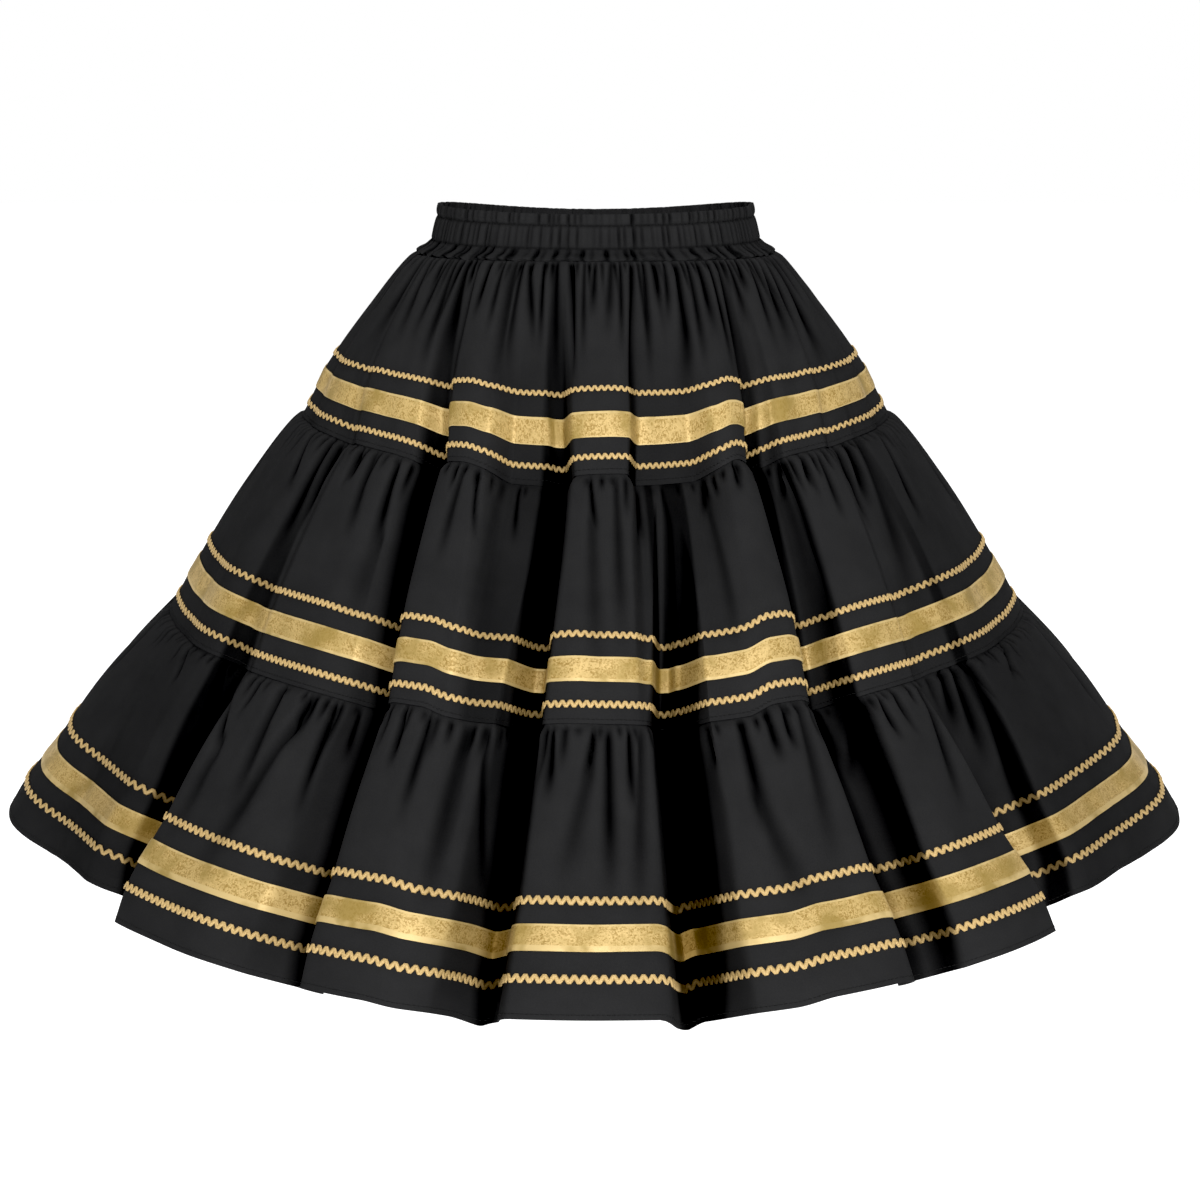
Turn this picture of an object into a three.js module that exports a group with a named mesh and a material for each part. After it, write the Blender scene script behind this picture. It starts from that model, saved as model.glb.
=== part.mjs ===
import * as THREE from 'three';

// A square dance skirt, in mm, +Z up. The origin is the middle of the waistband, the
// wearer's front faces -Y and +X is to the viewer's right. It stands in its worn, hollow
// shape: open at the waist and at the hem.

const CLOTH = 1.5;            // wall of the cotton
const SEAM_GAP = 0.5;         // space left where two cut pieces meet
const TRIM_LIFT = 0.4;        // space between a wall and the ribbon sewn on it
const RIBBON_THICK = 0.8;
const BRAID_LIFT = 0.7;       // space between a wall and the zigzag braid sewn on it
const BRAID_THICK = 0.9;
const BRAID_HALF = 3;         // half the braid's height
const SIDE_SEAMS = ['side_right', 'side_left'];

// Rings of the outer skin, top to bottom. half_width is along X and half_depth along Y;
// front_dip and back_dip are how far the ring sags at its centre front and centre back;
// gather is how far the gathers wave in and out there;
// corner_in is how far the ring is flattened between its front, sides and back.
const BAND = [
  { name: 'band_top', half_width: 120, half_depth: 94, height: 18, front_dip: 2, back_dip: 11, gather: 0, corner_in: 0 },
  { name: 'band_middle', half_width: 124, half_depth: 98, height: -2, front_dip: 0, back_dip: 9, gather: 0, corner_in: 0 },
  { name: 'band_lower', half_width: 128, half_depth: 103, height: -11, front_dip: -1, back_dip: 8, gather: 0, corner_in: 0 },
  { name: 'band_foot', half_width: 137.5, half_depth: 113, height: -18, front_dip: -3, back_dip: 7, gather: 0, corner_in: 0 },
];
const UPPER = [
  { name: 'crest', half_width: 147.5, half_depth: 122, height: -27, front_dip: -4, back_dip: 6, gather: 3.2, corner_in: 1 },
  { name: 'fade', half_width: 172.5, half_depth: 152, height: -57, front_dip: -3, back_dip: 4, gather: 1.6, corner_in: 3 },
  { name: 'braid_upper', half_width: 200, half_depth: 188, height: -94, front_dip: 2, back_dip: 3, gather: 0, corner_in: 5 },
  { name: 'ribbon_top', half_width: 207.5, half_depth: 199, height: -105, front_dip: 5, back_dip: 3, gather: 0, corner_in: 6 },
  { name: 'ribbon_foot', half_width: 215, half_depth: 209, height: -119.5, front_dip: 6.5, back_dip: 3, gather: 0, corner_in: 7 },
  { name: 'braid_lower', half_width: 221, half_depth: 216, height: -131, front_dip: 7, back_dip: 4, gather: 0, corner_in: 7.5 },
  { name: 'foot', half_width: 226.5, half_depth: 221, height: -141, front_dip: 8, back_dip: 5, gather: 0, corner_in: 8 },
];
const MIDDLE = [
  { name: 'crest', half_width: 236.5, half_depth: 233, height: -149, front_dip: 11, back_dip: 6, gather: 4.2, corner_in: 8.5 },
  { name: 'fade', half_width: 269, half_depth: 268, height: -189, front_dip: 9, back_dip: 4, gather: 2.2, corner_in: 10 },
  { name: 'braid_upper', half_width: 301.5, half_depth: 306, height: -238, front_dip: 1, back_dip: 1, gather: 0, corner_in: 12 },
  { name: 'ribbon_top', half_width: 309.5, half_depth: 316, height: -251, front_dip: 0, back_dip: 0, gather: 0, corner_in: 12.5 },
  { name: 'ribbon_foot', half_width: 319, half_depth: 325.5, height: -266, front_dip: -1, back_dip: 0, gather: 0, corner_in: 13 },
  { name: 'braid_lower', half_width: 327, half_depth: 333, height: -280, front_dip: -2, back_dip: 0, gather: 0, corner_in: 13.5 },
  { name: 'foot', half_width: 334.5, half_depth: 339.5, height: -292, front_dip: -3, back_dip: 0, gather: 0, corner_in: 14 },
];
const LOWER = [
  { name: 'crest', half_width: 345, half_depth: 350, height: -301, front_dip: 0, back_dip: 1, gather: 5.0, corner_in: 14.5 },
  { name: 'fade', half_width: 380, half_depth: 387, height: -335, front_dip: 0, back_dip: 1, gather: 2.8, corner_in: 16 },
  { name: 'braid_upper', half_width: 414, half_depth: 423, height: -377, front_dip: -1, back_dip: 0, gather: 0, corner_in: 17 },
  { name: 'ribbon_top', half_width: 425, half_depth: 434, height: -392, front_dip: -5, back_dip: 0, gather: 0, corner_in: 16 },
  { name: 'ribbon_foot', half_width: 438, half_depth: 445, height: -407, front_dip: -7, back_dip: 0, gather: 0, corner_in: 15.5 },
  { name: 'braid_lower', half_width: 450, half_depth: 456, height: -421, front_dip: -8, back_dip: 0, gather: 0, corner_in: 17 },
  { name: 'foot', half_width: 466, half_depth: 466.5, height: -446, front_dip: -11, back_dip: 0, gather: 0, corner_in: 20 },
];

// The large folds, anticlockwise from the left side seam. Angles in degrees from the
// centre front, at the waist, the feet of the upper and middle tiers and the hem; depths
// in mm at those three feet; lean turns the bottom of the fold under its neighbour; before
// and after are the shares of the depth that its two shoulders take.
const FOLDS = [
  { name: 'side_left', waist: -103, upper: -96, middle: -92, hem: -92,
    in_upper: 6, in_middle: 10, in_hem: 16, lean: 0, before: 0.14, after: 0.14 },
  { name: 'left_4', waist: -84, upper: -76, middle: -71, hem: -68,
    in_upper: 1.5, in_middle: 2, in_hem: 4, lean: 0, before: 0.3, after: 0.3 },
  { name: 'left_3', waist: -66, upper: -56, middle: -53, hem: -52,
    in_upper: 4, in_middle: 10, in_hem: 50, lean: 0, before: 0.45, after: 0.1 },
  { name: 'left_2', waist: -40, upper: -32.5, middle: -28, hem: -26.7,
    in_upper: 20, in_middle: 36, in_hem: 42, lean: 1, before: 0.2, after: 0.1 },
  { name: 'left_1', waist: -11, upper: -6.8, middle: -8.5, hem: -10.2,
    in_upper: 22, in_middle: 40, in_hem: 52, lean: 0.7, before: 0.2, after: 0.1 },
  { name: 'right_1', waist: 15, upper: 12, middle: 9, hem: 9.2,
    in_upper: 16, in_middle: 44, in_hem: 58, lean: 0, before: 0.14, after: 0.14 },
  { name: 'right_2', waist: 40, upper: 32, middle: 29, hem: 30,
    in_upper: 20, in_middle: 34, in_hem: 38, lean: -1, before: 0.1, after: 0.2 },
  { name: 'right_3', waist: 62, upper: 52, middle: 46.5, hem: 48,
    in_upper: 4, in_middle: 11, in_hem: 46, lean: 0, before: 0.1, after: 0.45 },
  { name: 'right_4', waist: 84, upper: 74, middle: 69, hem: 67,
    in_upper: 1.5, in_middle: 2, in_hem: 4, lean: 0, before: 0.3, after: 0.3 },
  { name: 'side_right', waist: 103, upper: 96, middle: 92, hem: 91,
    in_upper: 6, in_middle: 10, in_hem: 16, lean: 0, before: 0.14, after: 0.14 },
  { name: 'back_1', waist: 122, upper: 114, middle: 110, hem: 109,
    in_upper: 8, in_middle: 16, in_hem: 30, lean: 0, before: 0.14, after: 0.14 },
  { name: 'back_2', waist: 139, upper: 131, middle: 127, hem: 126,
    in_upper: 14, in_middle: 28, in_hem: 40, lean: 0.8, before: 0.2, after: 0.1 },
  { name: 'back_3', waist: 154, upper: 147, middle: 143.5, hem: 142.5,
    in_upper: 20, in_middle: 34, in_hem: 42, lean: 0.8, before: 0.2, after: 0.1 },
  { name: 'back_4', waist: 168, upper: 163, middle: 158.5, hem: 157.5,
    in_upper: 18, in_middle: 36, in_hem: 46, lean: 0, before: 0.14, after: 0.14 },
  { name: 'back_5', waist: 180, upper: 178, middle: 175, hem: 174,
    in_upper: 20, in_middle: 38, in_hem: 48, lean: 0.5, before: 0.14, after: 0.14 },
  { name: 'back_6', waist: 191.5, upper: 192, middle: 191, hem: 190.5,
    in_upper: 16, in_middle: 34, in_hem: 44, lean: 0, before: 0.14, after: 0.14 },
  { name: 'back_7', waist: 203, upper: 205, middle: 206.5, hem: 207,
    in_upper: 18, in_middle: 34, in_hem: 44, lean: -0.5, before: 0.12, after: 0.2 },
  { name: 'back_8', waist: 215, upper: 219.5, middle: 222.5, hem: 223,
    in_upper: 14, in_middle: 30, in_hem: 42, lean: -0.8, before: 0.1, after: 0.2 },
  { name: 'back_9', waist: 228, upper: 234, middle: 237.5, hem: 238.5,
    in_upper: 10, in_middle: 22, in_hem: 34, lean: 0, before: 0.14, after: 0.14 },
  { name: 'back_10', waist: 242, upper: 249, middle: 252.5, hem: 253,
    in_upper: 6, in_middle: 14, in_hem: 28, lean: 0, before: 0.14, after: 0.14 },
];

// Columns of each panel between two folds and where they stand in it. The first is the
// bottom of the fold; a shoulder takes its share of the depth from its own fold.
const STATIONS = [
  { name: 'bottom', place: 0 },
  { name: 'after', place: 0.16 },
  { name: 'first_crown', place: 0.39 },
  { name: 'second_crown', place: 0.61 },
  { name: 'before', place: 0.84 },
];
const WAIST_FOLD = 1.5;       // depth of every fold where the upper tier starts
// How far the bottom of a fold hangs below its neighbours, as a share of its depth, at the
// waist, the upper tier's foot, the middle tier's foot and the hem.
const HANG = [0, 0.7, 0.5, 0.55];
const BACK_IN = 0.08;         // share by which the back half of the hem is narrower

// Panels that hang flatter towards the hem: where they start and end, in folds from the
// first, the widths of their two soft edges, and how far they stand in, in mm, at the waist
// and the three feet.
const FLAT_PANELS = [
  { name: 'flat_left', first: 0.4, last: 1.98, soft_first: 0.9, soft_last: 0.1, inward: [0, 0, 2, 24] },
  { name: 'flat_right', first: 7.02, last: 8.6, soft_first: 0.1, soft_last: 0.9, inward: [0, 0, 2, 24] },
];

const mix = (first, second, share) => first + (second - first) * share;

// A smooth rise from 0 to 1 while the value goes from low to high.
function fade(low, high, value) {
  const step = THREE.MathUtils.clamp((value - low) / (high - low), 0, 1);
  return step * step * (3 - 2 * step);
}

// A value given at the waist and the three feet, read at a place from 0 to 3 between them.
function between(values, place) {
  const step = Math.min(Math.floor(place), values.length - 2);
  return mix(values[step], values[step + 1], place - step);
}

const foldAngles = (fold) => [fold.waist, fold.upper, fold.middle, fold.hem];
const foldDepths = (fold) => [WAIST_FOLD, fold.in_upper, fold.in_middle, fold.in_hem];

// All columns round the skirt.
function makeColumns() {
  const columns = [];
  FOLDS.forEach((fold, index) => {
    const last = index === FOLDS.length - 1;
    const next = FOLDS[last ? 0 : index + 1];
    for (const station of STATIONS) {
      const near = station.place < 0.5 ? fold : next;
      const bottom = station.name === 'bottom';
      columns.push({
        fold,
        next,
        near,
        turn: last ? 360 : 0,
        place: station.place,
        share: bottom ? 1 : near[station.name] ?? 0,
        lean: bottom ? fold.lean : 0,
      });
    }
  });
  return columns;
}
const COLUMNS = makeColumns();

const foldColumn = (name) => FOLDS.findIndex((fold) => fold.name === name) * STATIONS.length;

// How far the flatter panels stand in at one column and place.
function flatness(index, place) {
  const across = Math.floor(index / STATIONS.length) + COLUMNS[index].place;
  let inward = 0;
  for (const panel of FLAT_PANELS) {
    const inside = fade(0, panel.soft_first, across - panel.first)
      * (1 - fade(-panel.soft_last, 0, across - panel.last));
    inward += between(panel.inward, place) * inside;
  }
  return inward;
}

// The outer skin at one column of one ring; `place` is the ring's place from 0 at the waist
// to 3 at the hem.
function skinPoint(ring, place, index) {
  const column = COLUMNS[index];
  const start = between(foldAngles(column.fold), place);
  const end = between(foldAngles(column.next), place) + column.turn;
  const degrees = mix(start, end, column.place) + column.lean * Math.min(1, place);
  const angle = THREE.MathUtils.degToRad(degrees);
  const depth = between(foldDepths(column.near), place) * column.share;
  const sign = index % 2 === 0 ? -1 : 1;
  const wave = ring.gather * sign * (0.78 + 0.22 * Math.sin(2.4 * index)) * (1 - column.share);
  const corner = ring.corner_in * Math.abs(Math.sin(2 * angle)) ** 3;
  const inward = depth - wave + corner + flatness(index, place);
  const outX = Math.sin(angle) / ring.half_width;
  const outY = -Math.cos(angle) / ring.half_depth;
  const length = Math.hypot(outX, outY);
  const toward = -Math.cos(angle);
  const dip = toward < 0 ? ring.front_dip : ring.back_dip;
  const narrow = BACK_IN * fade(-0.15, 0.2, toward) * fade(2.4, 2.9, place);
  return new THREE.Vector3(
    ring.half_width * Math.sin(angle) * (1 - narrow) - inward * outX / length,
    -ring.half_depth * Math.cos(angle) - inward * outY / length,
    ring.height - dip * toward * toward - between(HANG, place) * depth,
  );
}

// Places of a tier's rings, from its own start, by length of cloth at the side.
function tierRows(rings, top, start) {
  const all = [top, ...rings];
  let length = 0;
  const along = all.map((ring, index) => {
    if (index > 0) {
      const before = all[index - 1];
      length += Math.hypot(ring.half_width - before.half_width, ring.height - before.height);
    }
    return length;
  });
  return all.map((ring, index) => ({
    name: index === 0 ? 'top' : ring.name,
    points: COLUMNS.map((column, at) => skinPoint(
      index === 0 ? { ...ring, gather: 0 } : ring, start + along[index] / length, at)),
  }));
}

// Outward offsets of a grid of rows: moving every point by its offset moves each face by
// about 1 mm, also where the cloth turns sharply.
function offsetsOf(rows) {
  const count = COLUMNS.length;
  const at = (row, column) => rows[row].points[(column + count) % count];
  return rows.map((row, r) => row.points.map((point, c) => {
    const normals = [];
    for (const down of [-1, 1]) {
      if (r + down < 0 || r + down >= rows.length) continue;
      for (const side of [-1, 1]) {
        const across = at(r, c + side).clone().sub(point).multiplyScalar(side);
        const along = at(r + down, c).clone().sub(point).multiplyScalar(down);
        normals.push(along.cross(across).normalize());
      }
    }
    const mean = new THREE.Vector3();
    normals.forEach((normal) => mean.add(normal));
    mean.normalize();
    let least = 1;
    normals.forEach((normal) => { least = Math.min(least, mean.dot(normal)); });
    return mean.divideScalar(Math.max(least, 0.42));
  }));
}

// The end face of a wall: triangles between its outer points and its inside ones, both read
// from top to bottom. `inside` holds the numbers of the outer rows that have an inside point.
function endFace(start, outer, inside) {
  const insidePoint = (step) => start + outer + inside.length - 1 - step;
  const faces = [];
  let row = 0;
  let step = 0;
  while (row < outer - 1 || step < inside.length - 1) {
    const corner = insidePoint(step);
    const walkOuter = step === inside.length - 1 || (row < outer - 1 && row + 1 <= inside[step + 1]);
    if (walkOuter) {
      faces.push([start + row, corner, start + row + 1]);
      row += 1;
    } else {
      faces.push([start + row, corner, insidePoint(step + 1)]);
      step += 1;
    }
  }
  return faces;
}

// A closed solid swept through cross-sections. Each section is a loop of `outer` points from
// top to bottom on the outside followed by the inside ones from bottom to top. With `inside`
// the sweep is open and gets two end faces; without it, it runs all round.
function sweep(name, sections, outer, inside, material) {
  const size = sections[0].length;
  const vertices = [];
  sections.forEach((section) => section.forEach((p) => vertices.push(p.x, p.y, p.z)));
  const faces = [];
  const last = inside ? sections.length - 1 : sections.length;
  for (let c = 0; c < last; c += 1) {
    const here = c * size;
    const there = ((c + 1) % sections.length) * size;
    for (let k = 0; k < size; k += 1) {
      const next = (k + 1) % size;
      const a = here + k;
      const b = here + next;
      const d = there + k;
      const e = there + next;
      if (k < outer - 1) faces.push(a, b, e, a, e, d);
      else faces.push(a, b, d, b, e, d);
    }
  }
  if (inside) {
    endFace(0, outer, inside).forEach(([a, b, c]) => faces.push(a, b, c));
    endFace((sections.length - 1) * size, outer, inside).forEach(([a, b, c]) => faces.push(a, c, b));
  }
  const geometry = new THREE.BufferGeometry();
  geometry.setAttribute('position', new THREE.Float32BufferAttribute(vertices, 3));
  geometry.setIndex(faces);
  geometry.computeVertexNormals();
  const mesh = new THREE.Mesh(geometry, material);
  mesh.name = name;
  return mesh;
}

const moved = (point, offset, distance) => point.clone().addScaledVector(offset, distance);

// A wall of cloth: its outer rows, and the inside ones picked from them by number.
function wallSections(rows, offsets, insideRows) {
  return COLUMNS.map((column, c) => [
    ...rows.map((row) => row.points[c].clone()),
    ...[...insideRows].reverse().map((r) => moved(rows[r].points[c], offsets[r][c], -CLOTH)),
  ]);
}

// The columns of one half of a tier, from one side seam to the other, with the seam gap.
function halfOf(sections, from, to) {
  const count = sections.length;
  const picked = [];
  for (let c = from; c <= to; c += 1) picked.push(sections[c % count].map((p) => p.clone()));
  const shift = (index, toward) => {
    const before = sections[(index - 1 + count) % count];
    const after = sections[(index + 1) % count];
    return before.map((p, k) => after[k].clone().sub(p).normalize().multiplyScalar(toward));
  };
  const first = shift(from % count, SEAM_GAP / 2);
  const final = shift(to % count, -SEAM_GAP / 2);
  picked[0].forEach((p, k) => p.add(first[k]));
  picked[picked.length - 1].forEach((p, k) => p.add(final[k]));
  return picked;
}

// A ribbon laid on the wall between two of its rows.
function ribbonSections(rows, offsets, upper, lower) {
  const high = TRIM_LIFT + RIBBON_THICK;
  return COLUMNS.map((column, c) => [
    moved(rows[upper].points[c], offsets[upper][c], high),
    moved(rows[lower].points[c], offsets[lower][c], high),
    moved(rows[lower].points[c], offsets[lower][c], TRIM_LIFT),
    moved(rows[upper].points[c], offsets[upper][c], TRIM_LIFT),
  ]);
}

// A braid laid on the wall along one of its rows, a half height above and below it.
function braidSections(rows, offsets, row) {
  const edge = (other, c) => {
    const from = rows[row].points[c];
    const to = rows[other].points[c];
    const share = BRAID_HALF / from.distanceTo(to);
    return {
      point: from.clone().lerp(to, share),
      offset: offsets[row][c].clone().lerp(offsets[other][c], share),
    };
  };
  return COLUMNS.map((column, c) => {
    const above = edge(row - 1, c);
    const below = edge(row + 1, c);
    return [
      moved(above.point, above.offset, BRAID_LIFT + BRAID_THICK),
      moved(below.point, below.offset, BRAID_LIFT + BRAID_THICK),
      moved(below.point, below.offset, BRAID_LIFT),
      moved(above.point, above.offset, BRAID_LIFT),
    ];
  });
}

const cotton = new THREE.MeshStandardMaterial({ color: 0x2b2b2d, roughness: 0.9, metalness: 0 });
const gold = new THREE.MeshStandardMaterial({ color: 0xd9b568, roughness: 0.35, metalness: 0.8 });
const braid = new THREE.MeshStandardMaterial({ color: 0xd4ae62, roughness: 0.5, metalness: 0.4 });

const group = new THREE.Group();
group.name = 'square_dance_skirt';

// Waistband, one closed ring.
const bandRows = BAND.map((ring) => ({
  name: ring.name,
  points: COLUMNS.map((column, c) => skinPoint(ring, 0, c)),
}));
const bandOffsets = offsetsOf(bandRows);
const bandInside = [0, 1, 2, 3];
group.add(sweep('waistband', wallSections(bandRows, bandOffsets, bandInside),
  bandRows.length, null, cotton));

// Three tiers, each hung from the edge above it.
const TIERS = [
  { name: 'upper', rings: UPPER, start: 0 },
  { name: 'middle', rings: MIDDLE, start: 1 },
  { name: 'lower', rings: LOWER, start: 2 },
];
const INSIDE_ROWS = [0, 1, 2, 3, 5, 7];
const ROW = { braid_upper: 3, ribbon_top: 4, ribbon_foot: 5, braid_lower: 6 };
let edgeAbove = { ring: BAND[BAND.length - 1], rows: bandRows, offsets: bandOffsets };
for (const tier of TIERS) {
  const rows = tierRows(tier.rings, edgeAbove.ring, tier.start);
  const above = edgeAbove.rows[edgeAbove.rows.length - 1].points;
  const higher = edgeAbove.rows[edgeAbove.rows.length - 2].points;
  rows[0].points = above.map((point, c) => point.clone().add(
    point.clone().sub(higher[c]).normalize().multiplyScalar(SEAM_GAP)));
  const offsets = offsetsOf(rows);
  offsets[0] = edgeAbove.offsets[edgeAbove.offsets.length - 1];
  const sections = wallSections(rows, offsets, INSIDE_ROWS);
  const left = foldColumn(SIDE_SEAMS[1]);
  const right = foldColumn(SIDE_SEAMS[0]);
  group.add(sweep(`${tier.name}_tier_front`, halfOf(sections, left, right),
    rows.length, INSIDE_ROWS, cotton));
  group.add(sweep(`${tier.name}_tier_back`, halfOf(sections, right, left + COLUMNS.length),
    rows.length, INSIDE_ROWS, cotton));
  group.add(sweep(`${tier.name}_ribbon`,
    ribbonSections(rows, offsets, ROW.ribbon_top, ROW.ribbon_foot), 2, null, gold));
  for (const place of ['upper', 'lower']) {
    group.add(sweep(`${tier.name}_braid_${place}`,
      braidSections(rows, offsets, ROW[`braid_${place}`]), 2, null, braid));
  }
  edgeAbove = { ring: tier.rings[tier.rings.length - 1], rows, offsets };
}

export default group;
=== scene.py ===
"""A square dance skirt: its cloth, trims and stitches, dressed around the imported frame."""

import logging
import math
from collections.abc import Callable, Iterable
from dataclasses import dataclass, field
from enum import Enum
from functools import partial

import bpy
import numpy as np
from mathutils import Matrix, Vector


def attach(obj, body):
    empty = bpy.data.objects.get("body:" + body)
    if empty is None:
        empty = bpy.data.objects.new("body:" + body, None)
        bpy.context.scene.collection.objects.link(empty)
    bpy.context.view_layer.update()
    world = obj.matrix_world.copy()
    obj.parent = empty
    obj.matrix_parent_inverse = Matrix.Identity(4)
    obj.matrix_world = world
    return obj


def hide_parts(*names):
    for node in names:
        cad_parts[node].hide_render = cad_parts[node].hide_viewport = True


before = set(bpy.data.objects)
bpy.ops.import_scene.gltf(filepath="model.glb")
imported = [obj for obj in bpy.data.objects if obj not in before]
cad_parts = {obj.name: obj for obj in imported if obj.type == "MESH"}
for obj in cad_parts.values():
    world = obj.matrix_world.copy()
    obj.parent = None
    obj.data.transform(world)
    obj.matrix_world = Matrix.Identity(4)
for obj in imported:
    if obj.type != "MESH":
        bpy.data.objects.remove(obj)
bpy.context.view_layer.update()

LOG = logging.getLogger("skirt")
MM = 0.001


class Trim(Enum):
    """The courses of trim on a tier, by the name of the ring that each one follows."""

    BRAID_UPPER = "braid_upper"
    BRAID_LOWER = "braid_lower"


@dataclass(frozen=True)
class SmoothTable:
    """Values at rising places, read between them by a curve that never overshoots."""

    places: tuple[float, ...]
    values: tuple[float, ...]

    def at(self, where: np.ndarray) -> np.ndarray:
        """Read the curve.

        Args:
            where: the places to read it at.

        Returns:
            The values there, in the same shape.
        """
        x = np.asarray(self.places, float)
        y = np.asarray(self.values, float)
        width = np.diff(x)
        slope = np.diff(y) / width
        tangent = np.zeros_like(y)
        tangent[0], tangent[-1] = slope[0], slope[-1]
        for i in range(1, len(y) - 1):
            if slope[i - 1] * slope[i] > 0:
                first = 2 * width[i] + width[i - 1]
                second = width[i] + 2 * width[i - 1]
                tangent[i] = (first + second) / (first / slope[i - 1] + second / slope[i])
        i = np.clip(np.searchsorted(x, where) - 1, 0, len(x) - 2)
        t = np.clip((where - x[i]) / width[i], 0, 1)
        rise = t * t * (3 - 2 * t)
        return (
            y[i] * (1 - rise)
            + y[i + 1] * rise
            + width[i] * tangent[i] * t * (1 - t) ** 2
            - width[i] * tangent[i + 1] * t * t * (1 - t)
        )


def fade(low: float, high: float, value: np.ndarray) -> np.ndarray:
    """Rise smoothly from 0 at the low end to 1 at the high end."""
    t = np.clip((value - low) / (high - low), 0, 1)
    return t * t * (3 - 2 * t)


@dataclass(frozen=True)
class Ring:
    """One ring of the skirt's skin in mm, with the sag of its front and back."""

    name: str
    half_width: float
    half_depth: float
    height: float
    front_dip: float
    back_dip: float
    corner_in: float


@dataclass(frozen=True)
class Fold:
    """One large fold: its angle at four levels, its depths at three feet, its lean and
    the shares of the depth that its two shoulders take."""

    name: str
    waist: float
    upper: float
    middle: float
    hem: float
    in_upper: float
    in_middle: float
    in_hem: float
    lean: float
    before: float
    after: float


BAND_RINGS = (
    Ring("band_top", 120, 94, 18, 2, 11, 0),
    Ring("band_middle", 124, 98, -2, 0, 9, 0),
    Ring("band_lower", 128, 103, -11, -1, 8, 0),
    Ring("band_foot", 137.5, 113, -18, -3, 7, 0),
)
TIER_RINGS = ("crest", "fade", "braid_upper", "ribbon_top", "ribbon_foot", "braid_lower", "foot")


def tier_rings(above: tuple[Ring, ...], *rows: tuple[float, ...]) -> tuple[Ring, ...]:
    """Name a tier's rings from its crest to its foot, after the last ring of what is above."""
    return (above[-1], *(Ring(name, *row) for name, row in zip(TIER_RINGS, rows)))


UPPER_RINGS = tier_rings(
    BAND_RINGS,
    (147.5, 122, -27, -4, 6, 1),
    (172.5, 152, -57, -3, 4, 3),
    (200, 188, -94, 2, 3, 5),
    (207.5, 199, -105, 5, 3, 6),
    (215, 209, -119.5, 6.5, 3, 7),
    (221, 216, -131, 7, 4, 7.5),
    (226.5, 221, -141, 8, 5, 8),
)
MIDDLE_RINGS = tier_rings(
    UPPER_RINGS,
    (236.5, 233, -149, 11, 6, 8.5),
    (269, 268, -189, 9, 4, 10),
    (301.5, 306, -238, 1, 1, 12),
    (309.5, 316, -251, 0, 0, 12.5),
    (319, 325.5, -266, -1, 0, 13),
    (327, 333, -280, -2, 0, 13.5),
    (334.5, 339.5, -292, -3, 0, 14),
)
LOWER_RINGS = tier_rings(
    MIDDLE_RINGS,
    (345, 350, -301, 0, 1, 14.5),
    (380, 387, -335, 0, 1, 16),
    (414, 423, -377, -1, 0, 17),
    (425, 434, -392, -5, 0, 16),
    (438, 445, -407, -7, 0, 15.5),
    (450, 456, -421, -8, 0, 17),
    (466, 466.5, -446, -11, 0, 20),
)
FOLDS = (
    Fold("side_left", -103, -96, -92, -92, 6, 10, 16, 0, 0.14, 0.14),
    Fold("left_4", -84, -76, -71, -68, 1.5, 2, 4, 0, 0.3, 0.3),
    Fold("left_3", -66, -56, -53, -52, 4, 10, 50, 0, 0.45, 0.1),
    Fold("left_2", -40, -32.5, -28, -26.7, 20, 36, 42, 1, 0.2, 0.1),
    Fold("left_1", -11, -6.8, -8.5, -10.2, 22, 40, 52, 0.7, 0.2, 0.1),
    Fold("right_1", 15, 12, 9, 9.2, 16, 44, 58, 0, 0.14, 0.14),
    Fold("right_2", 40, 32, 29, 30, 20, 34, 38, -1, 0.1, 0.2),
    Fold("right_3", 62, 52, 46.5, 48, 4, 11, 46, 0, 0.1, 0.45),
    Fold("right_4", 84, 74, 69, 67, 1.5, 2, 4, 0, 0.3, 0.3),
    Fold("side_right", 103, 96, 92, 91, 6, 10, 16, 0, 0.14, 0.14),
    Fold("back_1", 122, 114, 110, 109, 8, 16, 30, 0, 0.14, 0.14),
    Fold("back_2", 139, 131, 127, 126, 14, 28, 40, 0.8, 0.2, 0.1),
    Fold("back_3", 154, 147, 143.5, 142.5, 20, 34, 42, 0.8, 0.2, 0.1),
    Fold("back_4", 168, 163, 158.5, 157.5, 18, 36, 46, 0, 0.14, 0.14),
    Fold("back_5", 180, 178, 175, 174, 20, 38, 48, 0.5, 0.14, 0.14),
    Fold("back_6", 191.5, 192, 191, 190.5, 16, 34, 44, 0, 0.14, 0.14),
    Fold("back_7", 203, 205, 206.5, 207, 18, 34, 44, -0.5, 0.12, 0.2),
    Fold("back_8", 215, 219.5, 222.5, 223, 14, 30, 42, -0.8, 0.1, 0.2),
    Fold("back_9", 228, 234, 237.5, 238.5, 10, 22, 34, 0, 0.14, 0.14),
    Fold("back_10", 242, 249, 252.5, 253, 6, 14, 28, 0, 0.14, 0.14),
)
FIRST_BACK = 9
Four = tuple[float, float, float, float]
LEVELS = np.arange(4.0)


def steady(value: float) -> Four:
    """Give the same value at the waist, the upper foot, the middle foot and the hem."""
    return (value,) * 4


def at_places(place: np.ndarray, rows: Iterable[Four]) -> np.ndarray:
    """Read rows of values, given at the four levels, at places from the waist, 0, to the hem, 3."""
    return np.array([np.interp(place, LEVELS, row) for row in rows])


def within(across: np.ndarray, first: np.ndarray, last: np.ndarray, soft_first: float,
           soft_last: float) -> np.ndarray:
    """Give 1 in a strip of columns and 0 outside it, with soft edges of the given half widths."""
    inside = fade(-1, 1, (across - first) / soft_first)
    return inside * (1 - fade(-1, 1, (across - last) / soft_last))


@dataclass(frozen=True)
class Recess:
    """A flat-bottomed hollow between two columns, which are given with its depth in mm at
    the waist, the upper foot, the middle foot and the hem."""

    first: Four
    last: Four
    deep: Four
    soft_first: float
    soft_last: float


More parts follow.
